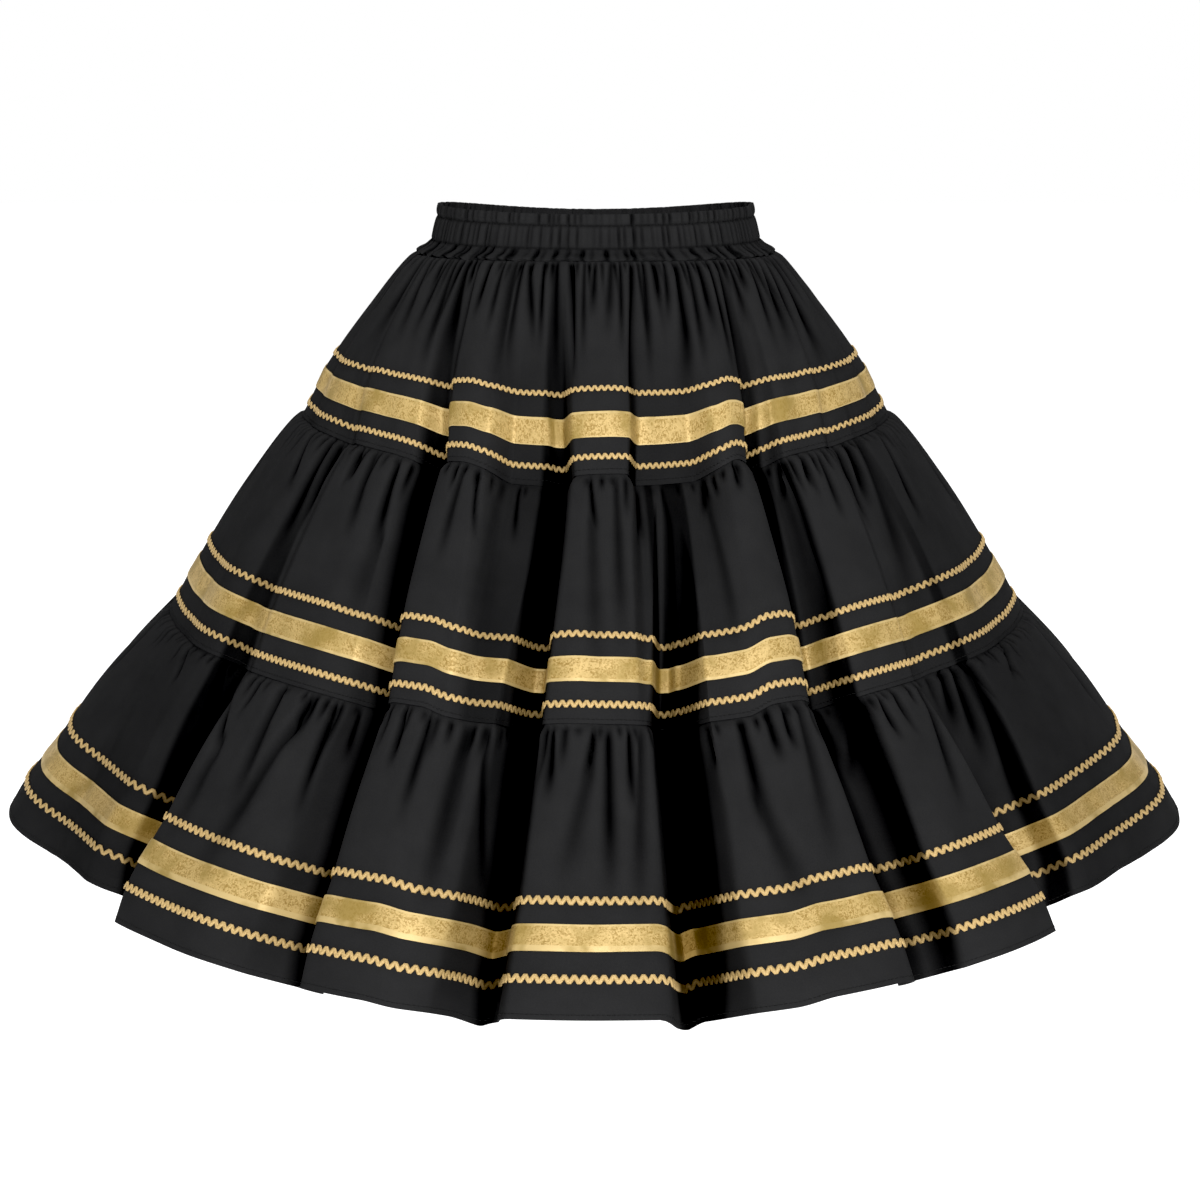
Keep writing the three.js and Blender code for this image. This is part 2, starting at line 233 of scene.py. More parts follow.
RECESSES = (
    Recess((3.70, 3.55, 3.62, 3.75), (4.05, 4.12, 4.04, 4.04), (0, 19, 10, 0), 0.09, 0.04),
    Recess((3.93, 3.92, 3.87, 3.92), (4.05, 4.10, 4.04, 4.03), (0, 20, 36, 48), 0.10, 0.04),
    Recess((4.85, 4.71, 4.78, 4.90), (5.20, 5.47, 5.38, 5.15), (0, 18, 8, 0), 0.07, 0.13),
    Recess((4.95, 4.88, 4.88, 4.91), (5.10, 5.24, 5.17, 5.10), (0, 12, 38, 52), 0.09, 0.10),
    Recess((2.90, 2.86, 2.92, 2.92), (3.04, 3.05, 3.03, 3.03), (0, 14, 30, 36), 0.05, 0.03),
    Recess((5.96, 5.95, 5.97, 5.97), (6.10, 6.20, 6.16, 6.12), (0, 12, 32, 34), 0.03, 0.07),
)


@dataclass(frozen=True)
class Panel:
    """A panel that hangs higher or flatter than its neighbours: its first and last columns,
    its rise and its flattening in mm, each at the waist, the upper foot, the middle foot and
    the hem, the widths of its two soft edges in columns, and the painted shade that it carries
    at the same four places, where a side panel turns away from the light."""

    first: Four
    last: Four
    up: Four
    flat: Four
    soft_first: float = 0.18
    soft_last: float = 0.18
    # Painted shade on the panel, for a side panel that turns away from the light.
    dark: Four = steady(0)


PANELS = (
    Panel(steady(3.05), (3.50, 3.52, 3.58, 3.70), (0, 3, 5, 2), steady(0)),
    Panel((5.45, 5.52, 5.42, 5.30), (5.92, 5.90, 5.93, 5.93), (0, 4, 6, 3), steady(0)),
    # The two side panels carry painted shade (their last four values), as they turn away from the
    # light.
    Panel(steady(0.40), steady(1.98), steady(0), (0, 0, 2, 24), 0.9, 0.1, (0, 0.05, 0.16, 0.34)),
    Panel(steady(7.02), steady(8.60), steady(0), (0, 0, 2, 24), 0.1, 0.9, (0, 0.15, 0.24, 0.26)),
    Panel(steady(3.88), steady(4.05), (0, 0, 0, -4), steady(0), 0.1, 0.1),
    Panel(steady(4.78), steady(5.04), (0, 0, 0, -5), steady(0), 0.1, 0.1),
)


@dataclass(frozen=True)
class ValleyShade:
    """A band of painted shade at the bottom of a fold, from its first to its last column at the
    tops of the three tiers and at the hem, with its strength there and the levels it reaches."""

    first: Four
    last: Four
    dark: Four
    start: float = 0
    end: float = 3
    soft_first: float = 0.03
    soft_last: float = 0.02


# Painted shade: dark bands painted into the bottoms of the front folds, where little light reaches.
VALLEY_SHADES = (
    ValleyShade((1.90, 1.80, 1.74, 1.76), (2.00, 1.98, 2.02, 2.04), (0, 0.2, 0.8, 0.95)),
    ValleyShade((2.90, 2.86, 2.90, 2.92), (2.97, 3.03, 3.03, 3.04), (0, 0.9, 0.95, 0.95)),
    ValleyShade((3.97, 3.86, 3.89, 3.94), (4.03, 4.12, 4.05, 4.04), (0, 0.95, 0.95, 0.95)),
    ValleyShade((3.60, 3.60, 3.64, 3.70), (3.88, 3.88, 3.88, 3.90), (0, 0.28, 0.46, 0.3), 1, 2),
    ValleyShade((4.80, 4.68, 4.68, 4.68), (4.84, 4.77, 4.77, 4.77), (0.1, 0.8, 0.8, 0.8), 0, 1),
    ValleyShade((4.92, 4.84, 4.90, 4.88), (4.95, 4.93, 4.98, 5.00), (0, 0.7, 0.95, 0.95), 1, 3),
    ValleyShade((5.02, 5.02, 4.96, 4.96), (5.06, 5.24, 5.17, 5.10), (0, 0.7, 0.95, 0.95), 1, 3),
    ValleyShade((6.00, 5.96, 5.96, 5.96), (6.05, 6.12, 6.10, 6.08), (0, 0.8, 0.7, 0.7)),
    ValleyShade((6.15, 6.17, 6.15, 6.09), (6.20, 6.27, 6.27, 6.15), (0, 0.4, 0.95, 0.9)),
    ValleyShade((7.20, 7.28, 7.30, 7.18), (7.22, 7.36, 7.42, 7.30), (0, 0.3, 0.8, 0.9)),
)
WAIST_FOLD = 1.5
HANG = (0.0, 0.7, 0.5, 0.55)
BACK_IN = 0.08
FLAT = 0.03
SHOULDER = 0.15
CROWN = 0.38
RECESS_EASE = 0.8


@dataclass
class Level:
    """A band or tier of the form: its rings and its place from 0, waist, to 3, hem."""

    rings: tuple[Ring, ...]
    start: float
    span: float = 1.0
    length: float = field(init=False)
    marks: dict[str, float] = field(init=False)
    tables: dict[str, SmoothTable] = field(init=False)

    def __post_init__(self) -> None:
        """Measure the cloth's length down the side and make the tables of the rings."""
        steps = [0.0]
        for above, below in zip(self.rings, self.rings[1:]):
            fall = math.hypot(below.half_width - above.half_width, below.height - above.height)
            steps.append(steps[-1] + fall)
        self.length = steps[-1]
        places = tuple(step / self.length for step in steps)
        self.marks = {ring.name: place for ring, place in zip(self.rings, places)}
        self.tables = {
            key: SmoothTable(places, tuple(getattr(ring, key) for ring in self.rings))
            for key in ("half_width", "half_depth", "height", "front_dip", "back_dip", "corner_in")
        }

    def place(self, down: np.ndarray) -> np.ndarray:
        """Turn places down the tier, from 0 to 1, into places down the whole skirt."""
        return self.start + self.span * np.clip(down, 0, 1)

    def below(self, down: np.ndarray) -> np.ndarray:
        """Turn places down the tier, from 0 to 1, into mm below its top."""
        return np.clip(down, 0, 1) * self.length


class SkirtForm:
    """The skirt's smooth skin with its large folds, on a grid of levels and columns.

    A column is a number from 0 to the count of folds: its whole part names the fold that
    the column follows, and the rest says how far it stands towards the next one.
    """

    def __init__(self, folds: tuple[Fold, ...], recesses: tuple[Recess, ...],
                 raised: tuple[Panel, ...]) -> None:
        """Keep the folds as arrays, the first one again at the end a full turn on.

        Args:
            folds: the large folds in order round the skirt.
            recesses: the flat-bottomed hollows beside some of them.
            raised: the panels that hang higher or flatter than their neighbours.
        """
        self.recesses, self.raised = recesses, raised
        self.count = len(folds)
        closed = folds + folds[:1]
        self.angles = np.array([[fold.waist, fold.upper, fold.middle, fold.hem] for fold in closed])
        self.angles[-1] += 360
        self.depths = np.array([[WAIST_FOLD, fold.in_upper, fold.in_middle, fold.in_hem]
                                for fold in closed])
        self.lean, self.before, self.after = (
            np.array([getattr(fold, key) for fold in closed]) for key in ("lean", "before", "after")
        )

    @staticmethod
    def _share(away: np.ndarray, shoulder: np.ndarray) -> np.ndarray:
        """Give the share of a fold's depth at a distance from its bottom.

        Args:
            away: the distance, as a share of the panel.
            shoulder: the share of the depth left at the fold's shoulder.

        Returns:
            1 at the bottom, falling smoothly to 0 at the crown.
        """
        away = np.maximum(away - FLAT, 0)
        steep = (shoulder - 1) / SHOULDER
        gentle = -shoulder / (CROWN - SHOULDER)
        tangent = 2 * steep * gentle / (steep + gentle)
        near = np.clip(away / SHOULDER, 0, 1)
        far = np.clip((away - SHOULDER) / (CROWN - SHOULDER), 0, 1)
        rise = near * near * (3 - 2 * near)
        inner = 1 + (shoulder - 1) * rise - SHOULDER * tangent * near * near * (1 - near)
        fall = far * far * (3 - 2 * far)
        outer = shoulder * (1 - fall) + (CROWN - SHOULDER) * tangent * far * (1 - far) ** 2
        return np.where(away < SHOULDER, inner, np.where(away < CROWN, outer, 0.0))

    def _beside(self, columns: np.ndarray) -> tuple[np.ndarray, np.ndarray]:
        """Find the fold that each column follows, and how far it stands towards the next."""
        fold = np.floor(columns).astype(int)
        return fold % self.count, columns - fold

    def hollow(self, level: Level, down: np.ndarray, columns: np.ndarray
               ) -> tuple[np.ndarray, np.ndarray]:
        """Work out how far the large folds take the skin inward.

        Args:
            level: the band or tier.
            down: places from its top, 0, to its foot, 1.
            columns: the columns.

        Returns:
            The depths in mm, and the same as a share of each fold's depth at its bottom,
            with one row for each place.
        """
        fold, part = self._beside(columns)
        place = level.place(down)
        depth = at_places(place, self.depths)
        behind = self._share(part, self.after[fold])
        ahead = self._share(1 - part, self.before[fold + 1])
        made = (depth[fold] * behind[:, None] + depth[fold + 1] * ahead[:, None]).T
        share = np.maximum(behind, ahead)[None, :] * np.ones_like(made)
        across = (columns % self.count)[None, :]
        for recess in self.recesses:
            rows = (recess.first, recess.last, recess.deep)
            first, last, deep = at_places(place, rows)[:, :, None]
            inside = within(across, first, last, recess.soft_first, recess.soft_last)
            gap = np.maximum(deep * inside - made, 0)
            made = made + gap * gap / (gap + RECESS_EASE)
        return made, share

    def panels(self, place: np.ndarray, columns: np.ndarray
               ) -> tuple[np.ndarray, np.ndarray, np.ndarray]:
        """Work out how much higher and flatter some panels hang, and how much painted shade they
        carry.

        Args:
            place: places from 0 at the waist to 3 at the hem.
            columns: the columns.

        Returns:
            The rise and the flattening in mm and the painted shade from 0 to 1, one row for
            each place.
        """
        across = (columns % self.count)[None, :]
        rise = np.zeros((len(place), len(columns)))
        flat, dark = np.zeros_like(rise), np.zeros_like(rise)
        for panel in self.raised:
            rows = (panel.first, panel.last, panel.up, panel.flat, panel.dark)
            first, last, up, inward, deep = at_places(place, rows)[:, :, None]
            half_first, half_last = panel.soft_first / 2, panel.soft_last / 2
            inside = within(across, first + half_first, last - half_last, half_first, half_last)
            rise += up * inside
            flat += inward * inside
            # The panels' painted shade, kept apart from their rise and flattening.
            dark = np.maximum(dark, deep * inside)
        return rise, flat, dark

    @staticmethod
    def _narrow(toward: np.ndarray, place: np.ndarray) -> np.ndarray:
        """Give the share by which the back draws in at the hem, one row for each place."""
        return BACK_IN * fade(-0.15, 0.2, toward) * fade(2.4, 2.9, place)[:, None]

    def skin(self, level: Level, down: np.ndarray, columns: np.ndarray) -> np.ndarray:
        """Work out points of the skin in mm.

        Args:
            level: the band or tier.
            down: places from its top, 0, to its foot, 1.
            columns: the columns.

        Returns:
            An array of points, one row for each place and one column for each column.
        """
        fold, part = self._beside(columns)
        place = level.place(down)
        angle_at = at_places(place, self.angles)
        hang = at_places(place, [HANG])[0][:, None]
        window = np.cos(np.clip(np.array([part, 1 - part]) / SHOULDER, 0, 1) * math.pi / 2) ** 2
        lean = self.lean[fold] * window[0] + self.lean[fold + 1] * window[1]
        angle = angle_at[fold] * (1 - part)[:, None] + angle_at[fold + 1] * part[:, None]
        angle = np.radians(angle.T + lean[None, :] * np.minimum(1, place)[:, None])
        depth = self.hollow(level, down, columns)[0]
        rise, flat, _ = self.panels(place, columns)
        ring = {key: table.at(down)[:, None] for key, table in level.tables.items()}
        inward = depth + ring["corner_in"] * np.abs(np.sin(2 * angle)) ** 3 + flat
        across, toward = np.sin(angle), -np.cos(angle)
        out_x, out_y = across / ring["half_width"], toward / ring["half_depth"]
        size = np.hypot(out_x, out_y)
        dip = np.where(toward < 0, ring["front_dip"], ring["back_dip"])
        drawn_in = 1 - self._narrow(toward, place)
        return np.stack(
            [
                ring["half_width"] * across * drawn_in - inward * out_x / size,
                ring["half_depth"] * toward - inward * out_y / size,
                ring["height"] - dip * toward**2 - hang * depth + rise,
            ],
            axis=2,
        )


Surface = Callable[[np.ndarray, np.ndarray], np.ndarray]
Edge = Callable[[np.ndarray], tuple[np.ndarray, np.ndarray, np.ndarray]]
NORMAL_STEP = 0.006
NORMAL_TURN = 0.012


def outward(surface: Surface, down: np.ndarray, columns: np.ndarray) -> np.ndarray:
    """Find the outward normals of a surface.

    Args:
        surface: the surface, a function from places and columns to points.
        down: the places.
        columns: the columns.

    Returns:
        Unit normals in the shape of the points.
    """
    lower = surface(np.clip(down + NORMAL_STEP, 0, 1), columns)
    higher = surface(np.clip(down - NORMAL_STEP, 0, 1), columns)
    across = surface(down, columns + NORMAL_TURN) - surface(down, columns - NORMAL_TURN)
    normal = np.cross(lower - higher, across)
    return normal / np.maximum(np.linalg.norm(normal, axis=2, keepdims=True), 1e-9)


def follow_round(surface: Surface, place: float, reach: float, columns: np.ndarray
                 ) -> tuple[np.ndarray, np.ndarray, np.ndarray]:
    """Follow a surface round the skirt at one height.

    Args:
        surface: the surface.
        place: the place down it.
        reach: how far above that the upward direction is aimed.
        columns: the columns.

    Returns:
        The points in mm, and the upward and outward directions there.
    """
    here = np.array([place])
    points = surface(here, columns)[0]
    up = surface(here - reach, columns)[0] - points
    up /= np.linalg.norm(up, axis=1, keepdims=True)
    return points, up, outward(surface, here, columns)[0]


def ring_lengths(ring: np.ndarray, widen: float = 0.0) -> np.ndarray:
    """Measure how far each point of a closed ring lies from the first one, along the ring.

    Args:
        ring: its points in mm.
        widen: how much longer what is laid out there grows towards the two sides.

    Returns:
        The lengths in mm, shorter by that growth.
    """
    steps = np.linalg.norm(np.diff(ring, axis=0), axis=1)
    side = np.abs(ring[1:, 0]) / np.abs(ring[:, 0]).max()
    return np.concatenate([[0], np.cumsum(steps / (1 + widen * fade(0.6, 0.97, side)))])


def around_to(away: np.ndarray, whole: float) -> np.ndarray:
    """Turn distances along a closed seam into the shorter way round, with its sign."""
    return (away + whole / 2) % whole - whole / 2


@dataclass(frozen=True)
class Crease:
    """A listed crease: its column where it starts and where it ends, those places
    in mm below the seam, its depth and its half width in mm."""

    first: float
    last: float
    start: float
    end: float
    depth: float
    width: float


@dataclass(frozen=True)
class Trough:
    """One gather, in mm: its place on the seam, its length, its depth, its half width and
    how far it drifts sideways for each mm down."""

    at: float
    length: float
    depth: float
    width: float
    drift: float


@dataclass
class Gathers:
    """The gathers at the top of a tier, as narrow troughs of uneven length.

    The depth, the lengths, the puff below the seam and the ripple further down are in mm,
    and so is the spread, the way down in which a trough doubles its width.
    """

    count: int
    seed: int
    depth: float
    shortest: float
    longest: float
    puff: float
    ripple: float
    stray: float = 0.32
    rare: float = 2.6
    puff_reach: float = 34
    spread: float = 80
    # How strongly the troughs are darkened with painted shade, and the most that it darkens.
    darkening: float = 0.62
    darkest: float = 0.88
    around: float = field(init=False, default=0.0)
    troughs: list[Trough] = field(init=False, default_factory=list)
    waves: list[tuple[float, float, float]] = field(init=False, default_factory=list)

    def lay_out(self, around: float) -> None:
        """Place the troughs round the seam.

        Args:
            around: the seam's length in mm.
        """
        self.around = around
        draw = np.random.default_rng(self.seed)
        pitch = around / self.count
        for index in range(self.count):
            at = (index + 0.5 + draw.uniform(-self.stray, self.stray)) * pitch
            size = draw.random() ** self.rare
            length = self.shortest + (self.longest - self.shortest) * size
            depth = self.depth * draw.uniform(0.55, 1.1) * (0.8 + 0.5 * size)
            width = pitch * draw.uniform(0.14, 0.26)
            self.troughs.append(Trough(at, length, depth, width, draw.uniform(-0.06, 0.06)))
        for fewest, most, share in ((9, 15, 1.0), (19, 27, 0.7), (34, 47, 0.45)):
            self.waves.append((draw.integers(fewest, most), draw.uniform(0, 6.28), share))

    def relief(self, below: np.ndarray, round_seam: np.ndarray, length: float
               ) -> tuple[np.ndarray, np.ndarray]:
        """Give how far the cloth stands out from the smooth skin.

        Args:
            below: distances below the seam in mm.
            round_seam: places along the seam in mm.
            length: the tier's length in mm.

        Returns:
            The relief in mm and its painted shade from 0 to 1, one row for each distance.
        """
        made = np.zeros((len(below), len(round_seam)))
        dark = np.zeros_like(made)
        for trough in self.troughs:
            away = around_to(round_seam - trough.at, self.around)
            near = np.abs(away) < 5 * trough.width + 0.08 * length
            wide = trough.width * (1 + below / self.spread)[:, None]
            end = 1 - fade(0.2 * trough.length, trough.length, below)
            strength = (fade(-1, 5, below) * end)[:, None]
            slope = (away[near][None, :] - trough.drift * below[:, None]) / wide
            form = np.exp(-slope * slope)
            made[:, near] -= trough.depth * strength * form
            # Painted shade in each trough, darker where it is deep and narrow.
            steep = np.minimum(self.darkest, self.darkening * trough.depth / wide)
            dark[:, near] = np.maximum(dark[:, near], steep * strength * form**1.5)
        made += self.puff * (fade(0, 7, below) * np.exp(-below / self.puff_reach))[:, None]
        grow = fade(8, 0.6 * length, below)[:, None]
        for turns, phase, share in self.waves:
            wave = np.sin(2 * math.pi * turns * round_seam / self.around + phase)
            made += self.ripple * share * grow * wave[None, :]
        return made, dark


class TierCloth:
    """A tier's cloth: the form's skin with its gathers and creases on it."""

    FRONT_ENDS = (8.6, 8.8)
    CALM = 0.75
    FINE = 6001
    OVERRUN = 1.35
    # How strongly the creases are darkened with painted shade, and the most that it darkens.
    DARKENING = 0.78
    DARKEST = 0.95

    def __init__(self, form: SkirtForm, level: Level, gathers: Gathers,
                 creases: tuple[Crease, ...]) -> None:
        """Measure the seam above and lay out the gathers.

        Args:
            form: the whole skirt's form.
            level: the tier's rings.
            gathers: its gathers.
            creases: its creases.
        """
        self.form, self.level, self.gathers, self.creases = form, level, gathers, creases
        self.skin = partial(form.skin, level)
        self._fine = np.linspace(0, form.count, self.FINE)
        self._seam = self._measure(0.04)
        gathers.lay_out(float(self._seam[-1]))

    def _measure(self, down: float, widen: float = 0.0) -> np.ndarray:
        """Measure in mm round the tier to each fine column, less what is to widen at the sides."""
        return ring_lengths(self.skin(np.array([down]), self._fine)[0], widen)

    def round_seam(self, columns: np.ndarray) -> np.ndarray:
        """Turn columns into mm along the seam above.

        Args:
            columns: the columns, which may pass the last one.

        Returns:
            The places along the seam.
        """
        turns = np.floor(columns / self.form.count)
        rest = columns - turns * self.form.count
        return np.interp(rest, self._fine, self._seam) + turns * self._seam[-1]

    def even_columns(self, count: int, down: float, widen: float = 0.0) -> np.ndarray:
        """Space columns evenly along the cloth at a place down it, or wider towards the sides."""
        lengths = self._measure(down, widen)
        return np.interp(np.arange(count) / count * lengths[-1], lengths, self._fine)

    def around(self, down: float, widen: float = 0.0) -> float:
        """Give the length round the tier in mm at a place down it."""
        return float(self._measure(down, widen)[-1])

    def surface(self, down: np.ndarray, columns: np.ndarray) -> np.ndarray:
        """Work out the outer face of the cloth in mm."""
        skin, normal, relief = self.parts(down, columns)
        return skin + normal * relief[:, :, None]

    def parts(self, down: np.ndarray, columns: np.ndarray
              ) -> tuple[np.ndarray, np.ndarray, np.ndarray]:
        """Work out what the cloth's outer face is made of.

        Args:
            down: places down the tier from 0 to 1.
            columns: the columns.

        Returns:
            The smooth skin's points and normals, and the relief on it in mm.
        """
        normal = outward(self.skin, down, columns)
        below, seam = self.level.below(down), self.round_seam(columns)
        relief = self.gathers.relief(below, seam, self.level.length)[0]
        relief = relief + self.folding(below, seam)[0]
        calm = 1 - self.CALM * fade(6, 16, self.form.hollow(self.level, down, columns)[0])
        return self.skin(down, columns), normal, relief * calm

    def folding(self, below: np.ndarray, seam: np.ndarray) -> tuple[np.ndarray, np.ndarray]:
        """Give the relief of the creases.

        Args:
            below: distances below the seam in mm.
            seam: places along the seam in mm.

        Returns:
            The relief in mm and its painted shade from 0 to 1, one row for each distance.
        """
        made = np.zeros((len(below), len(seam)))
        dark = np.zeros_like(made)
        for crease in self.creases:
            reach = crease.end - crease.start
            down = np.clip((below - crease.start) / reach, 0, self.OVERRUN)
            centre = self.round_seam(crease.first + (crease.last - crease.first) * down)
            away = around_to(seam[None, :] - centre[:, None], self.gathers.around)
            wide = crease.width * (0.62 + 0.85 * down)[:, None]
            strength = fade(crease.start - 6, crease.start + 4, below)
            strength = (strength * (1 - fade(0.55, 1.32, down)))[:, None]
            form = np.exp(-((away / wide) ** 2))
            made -= crease.depth * strength * form
            # Painted shade along each crease, darker where it is deep and narrow.
            steep = min(self.DARKEST, self.DARKENING * max(crease.depth, 0) / crease.width)
            dark = np.maximum(dark, steep * strength * form**1.6)
        return made, dark

    def shade(self, down: np.ndarray, columns: np.ndarray) -> np.ndarray:
        """Work out the painted shade of each point, from 0 on a crown to 1 deep in a fold.

        Args:
            down: places down the tier from 0 to 1.
            columns: the columns.

        Returns:
            The painted shade, one row for each place.
        """
        below, seam = self.level.below(down), self.round_seam(columns)
        deep, share = self.form.hollow(self.level, down, columns)
        place = self.level.place(down)
        across = (columns % self.form.count)[None, :]
        # Painted shade that grows with the depth of the large folds, strongest at their bottoms on
        # the back, then the side panels' painted shade.
        bottom = fade(0.60, 0.80, share) * fade(*self.FRONT_ENDS, across)
        fold = 0.22 * fade(3, 16, deep) + 0.75 * fade(10, 18, deep) * bottom
        fold = np.maximum(fold, self.form.panels(place, columns)[2])
        for valley_shade in VALLEY_SHADES:
            if valley_shade.start <= self.level.start < valley_shade.end:
                rows = (valley_shade.first, valley_shade.last, valley_shade.dark)
                first, last, dark = at_places(place, rows)[:, :, None]
                inside = within(across, first, last, valley_shade.soft_first, valley_shade.soft_last)
                fold = np.maximum(fold, dark * inside)
        # Painted shade in the gathers and creases, joined with that of the folds.
        gathered = self.gathers.relief(below, seam, self.level.length)[1]
        small = 1 - (1 - gathered) * (1 - self.folding(below, seam)[1])
        return 1 - (1 - fold) * (1 - np.clip(small, 0, self.DARKEST))


SHARP = math.radians(55)


def keep_shade(mesh: bpy.types.Mesh, shade: np.ndarray) -> None:
    """Keep on a mesh the painted shade of each of its points, strongest at the bottom of a fold."""
    layer = mesh.attributes.new("shade", "FLOAT", "POINT")
    layer.data.foreach_set("value", shade.astype(np.float32).ravel())


def make_mesh(name: str, points: np.ndarray, faces: list[list[int]], uvs: np.ndarray | None,
              finish: bpy.types.Material, shade: np.ndarray | None = None) -> bpy.types.Object:
    """Make a mesh object at the origin.

    Args:
        name: its name.
        points: its points in mm.
        faces: its faces as lists of point numbers.
        uvs: a pair for each corner of the faces in order, or None.
        finish: its material.
        shade: the painted shade of each point, or None.

    Returns:
        The object, linked to the scene.
    """
    mesh = bpy.data.meshes.new(name)
    mesh.from_pydata((points * MM).tolist(), [], faces)
    mesh.update()
    if uvs is not None:
        layer = mesh.uv_layers.new(name="UVMap")
        layer.data.foreach_set("uv", np.asarray(uvs, np.float32).ravel())
    if shade is not None:
        keep_shade(mesh, shade)
    mesh.materials.append(finish)
    mesh.shade_smooth()
    mesh.set_sharp_from_angle(angle=SHARP)
    made = bpy.data.objects.new(name, mesh)
    bpy.context.scene.collection.objects.link(made)
    return made


class Shell:
    """A closed tube of cloth: an outer grid, an inner one that may be coarser, and two rims.

    Both grids have their top row first and their columns all round.
    """

    CORNERS = ((0, 0), (1, 0), (1, 1), (0, 1))

    def __init__(self, outer: np.ndarray, inner: np.ndarray, across: np.ndarray,
                 down: np.ndarray) -> None:
        """Keep the two grids and number their points.

        Args:
            outer: the outer points in mm.
            inner: the inner points, in whose place one column may stand for several outer ones.
            across: the cloth's length in mm at each outer column, with the full length last.
            down: the cloth's length in mm at each outer row.
        """
        self.outer, self.inner = outer, inner
        rows, columns = outer.shape[:2]
        inner_rows, self.inner_columns = inner.shape[:2]
        self.ratio = columns // self.inner_columns
        self.number = np.arange(rows * columns).reshape(rows, columns)
        inside = np.arange(inner_rows * self.inner_columns).reshape(inner_rows, -1)
        self.inside = rows * columns + inside
        self.across, self.down = np.asarray(across), np.asarray(down)
        self.inner_across = self.across[np.arange(self.inner_columns + 1) * self.ratio]
        self.inner_down = np.linspace(self.down[0], self.down[-1], inner_rows)

    def _sides(self, number: np.ndarray, across: np.ndarray, down: np.ndarray,
               corners: tuple[tuple[int, int], ...]) -> tuple[list[list[int]], np.ndarray]:
        """List the faces of one grid.

        Args:
            number: its point numbers.
            across: the cloth's length at each column.
            down: the cloth's length at each row.
            corners: the row and the column of each corner of a face, from its first one.

        Returns:
            The faces, and the flat place in mm of each of their corners.
        """
        closed = np.concatenate([number, number[:, :1]], axis=1)
        row, column = np.meshgrid(np.arange(len(number) - 1), np.arange(number.shape[1]),
                                  indexing="ij")
        faces = np.stack([closed[row + i, column + j] for i, j in corners], axis=2)
        flat = [np.stack([across[column + j], down[row + i]], axis=2) for i, j in corners]
        return faces.reshape(-1, 4).tolist(), np.stack(flat, axis=2).reshape(-1, 2)

    def _rim(self, row: int) -> tuple[list[list[int]], list[np.ndarray]]:
        """List the faces that close one end of the tube.

        Args:
            row: 0 for the upper end, -1 for the lower one.

        Returns:
            The faces, and the flat places in mm of the corners of each.
        """
        turned = -1 if row else 1
        faces, flat = [], []
        for j in range(self.inner_columns):
            run = [j * self.ratio + k for k in range(self.ratio + 1)]
            face = [self.number[row, k % self.number.shape[1]] for k in run]
            face += [self.inside[row, (j + 1) % self.inner_columns], self.inside[row, j]]
            marks = [[self.across[k], self.down[row]] for k in run]
            marks += [[self.inner_across[k], self.down[row]] for k in (j + 1, j)]
            faces.append([int(k) for k in face][::turned])
            flat.append(np.array(marks)[::turned])
        return faces, flat

    def make(self, name: str, finish: bpy.types.Material, shade: np.ndarray) -> bpy.types.Object:
        """Make the tube a mesh object.

        Args:
            name: its name.
            finish: its material.
            shade: the painted shade of each outer point.

        Returns:
            The object.
        """
        faces, flat = self._sides(self.number, self.across, self.down, self.CORNERS)
        inner, inner_flat = self._sides(self.inside, self.inner_across, self.inner_down,
                                        self.CORNERS[:1] + self.CORNERS[:0:-1])
        faces, flat = faces + inner, [flat, inner_flat]
        for row in (0, -1):
            rim, rim_flat = self._rim(row)
            faces += rim
            flat += rim_flat
        points = np.vstack([self.outer.reshape(-1, 3), self.inner.reshape(-1, 3)])
        # Painted shade on the outer face only; the inner face gets none.
        dark = np.concatenate([shade.ravel(), np.zeros(self.inside.size)])
        return make_mesh(name, points, faces, np.vstack(flat) * MM, finish, dark)


class Graph:
    """A short hand for building a node tree."""

    def __init__(self, tree: bpy.types.NodeTree) -> None:
        """Keep the tree that the nodes go into."""
        self.tree = tree

    def put(self, value: object, target: bpy.types.NodeSocket) -> None:
        """Link a socket into an input, or set the input's own constant.

        Args:
            value: the socket or the constant.
            target: the input.
        """
        if isinstance(value, bpy.types.NodeSocket):
            self.tree.links.new(value, target)
        else:
            target.default_value = value

    def add(self, kind: str, inputs: dict[int | str, object] | None = None,
            **settings: object) -> bpy.types.Node:
        """Add a node with its properties and its inputs set.

        Args:
            kind: the node's type.
            inputs: a socket or a constant for each input that isn't left as it is.
            settings: its properties by name.

        Returns:
            The node.
        """
        node = self.tree.nodes.new(kind)
        for key, value in settings.items():
            setattr(node, key, value)
        for key, value in (inputs or {}).items():
            self.put(value, node.inputs[key])
        return node

    def maths(self, operation: str, first: object, second: object = None) -> bpy.types.NodeSocket:
        """Work out a number from one or two others, which are sockets or constants."""
        given = {0: first} if second is None else {0: first, 1: second}
        return self.add("ShaderNodeMath", given, operation=operation).outputs[0]

    def blend(self, first: object, much: float, second: object, little: float
              ) -> bpy.types.NodeSocket:
        """Add up two values in the shares that are given."""
        return self.maths("ADD", self.maths("MULTIPLY", first, much),
                          self.maths("MULTIPLY", second, little))


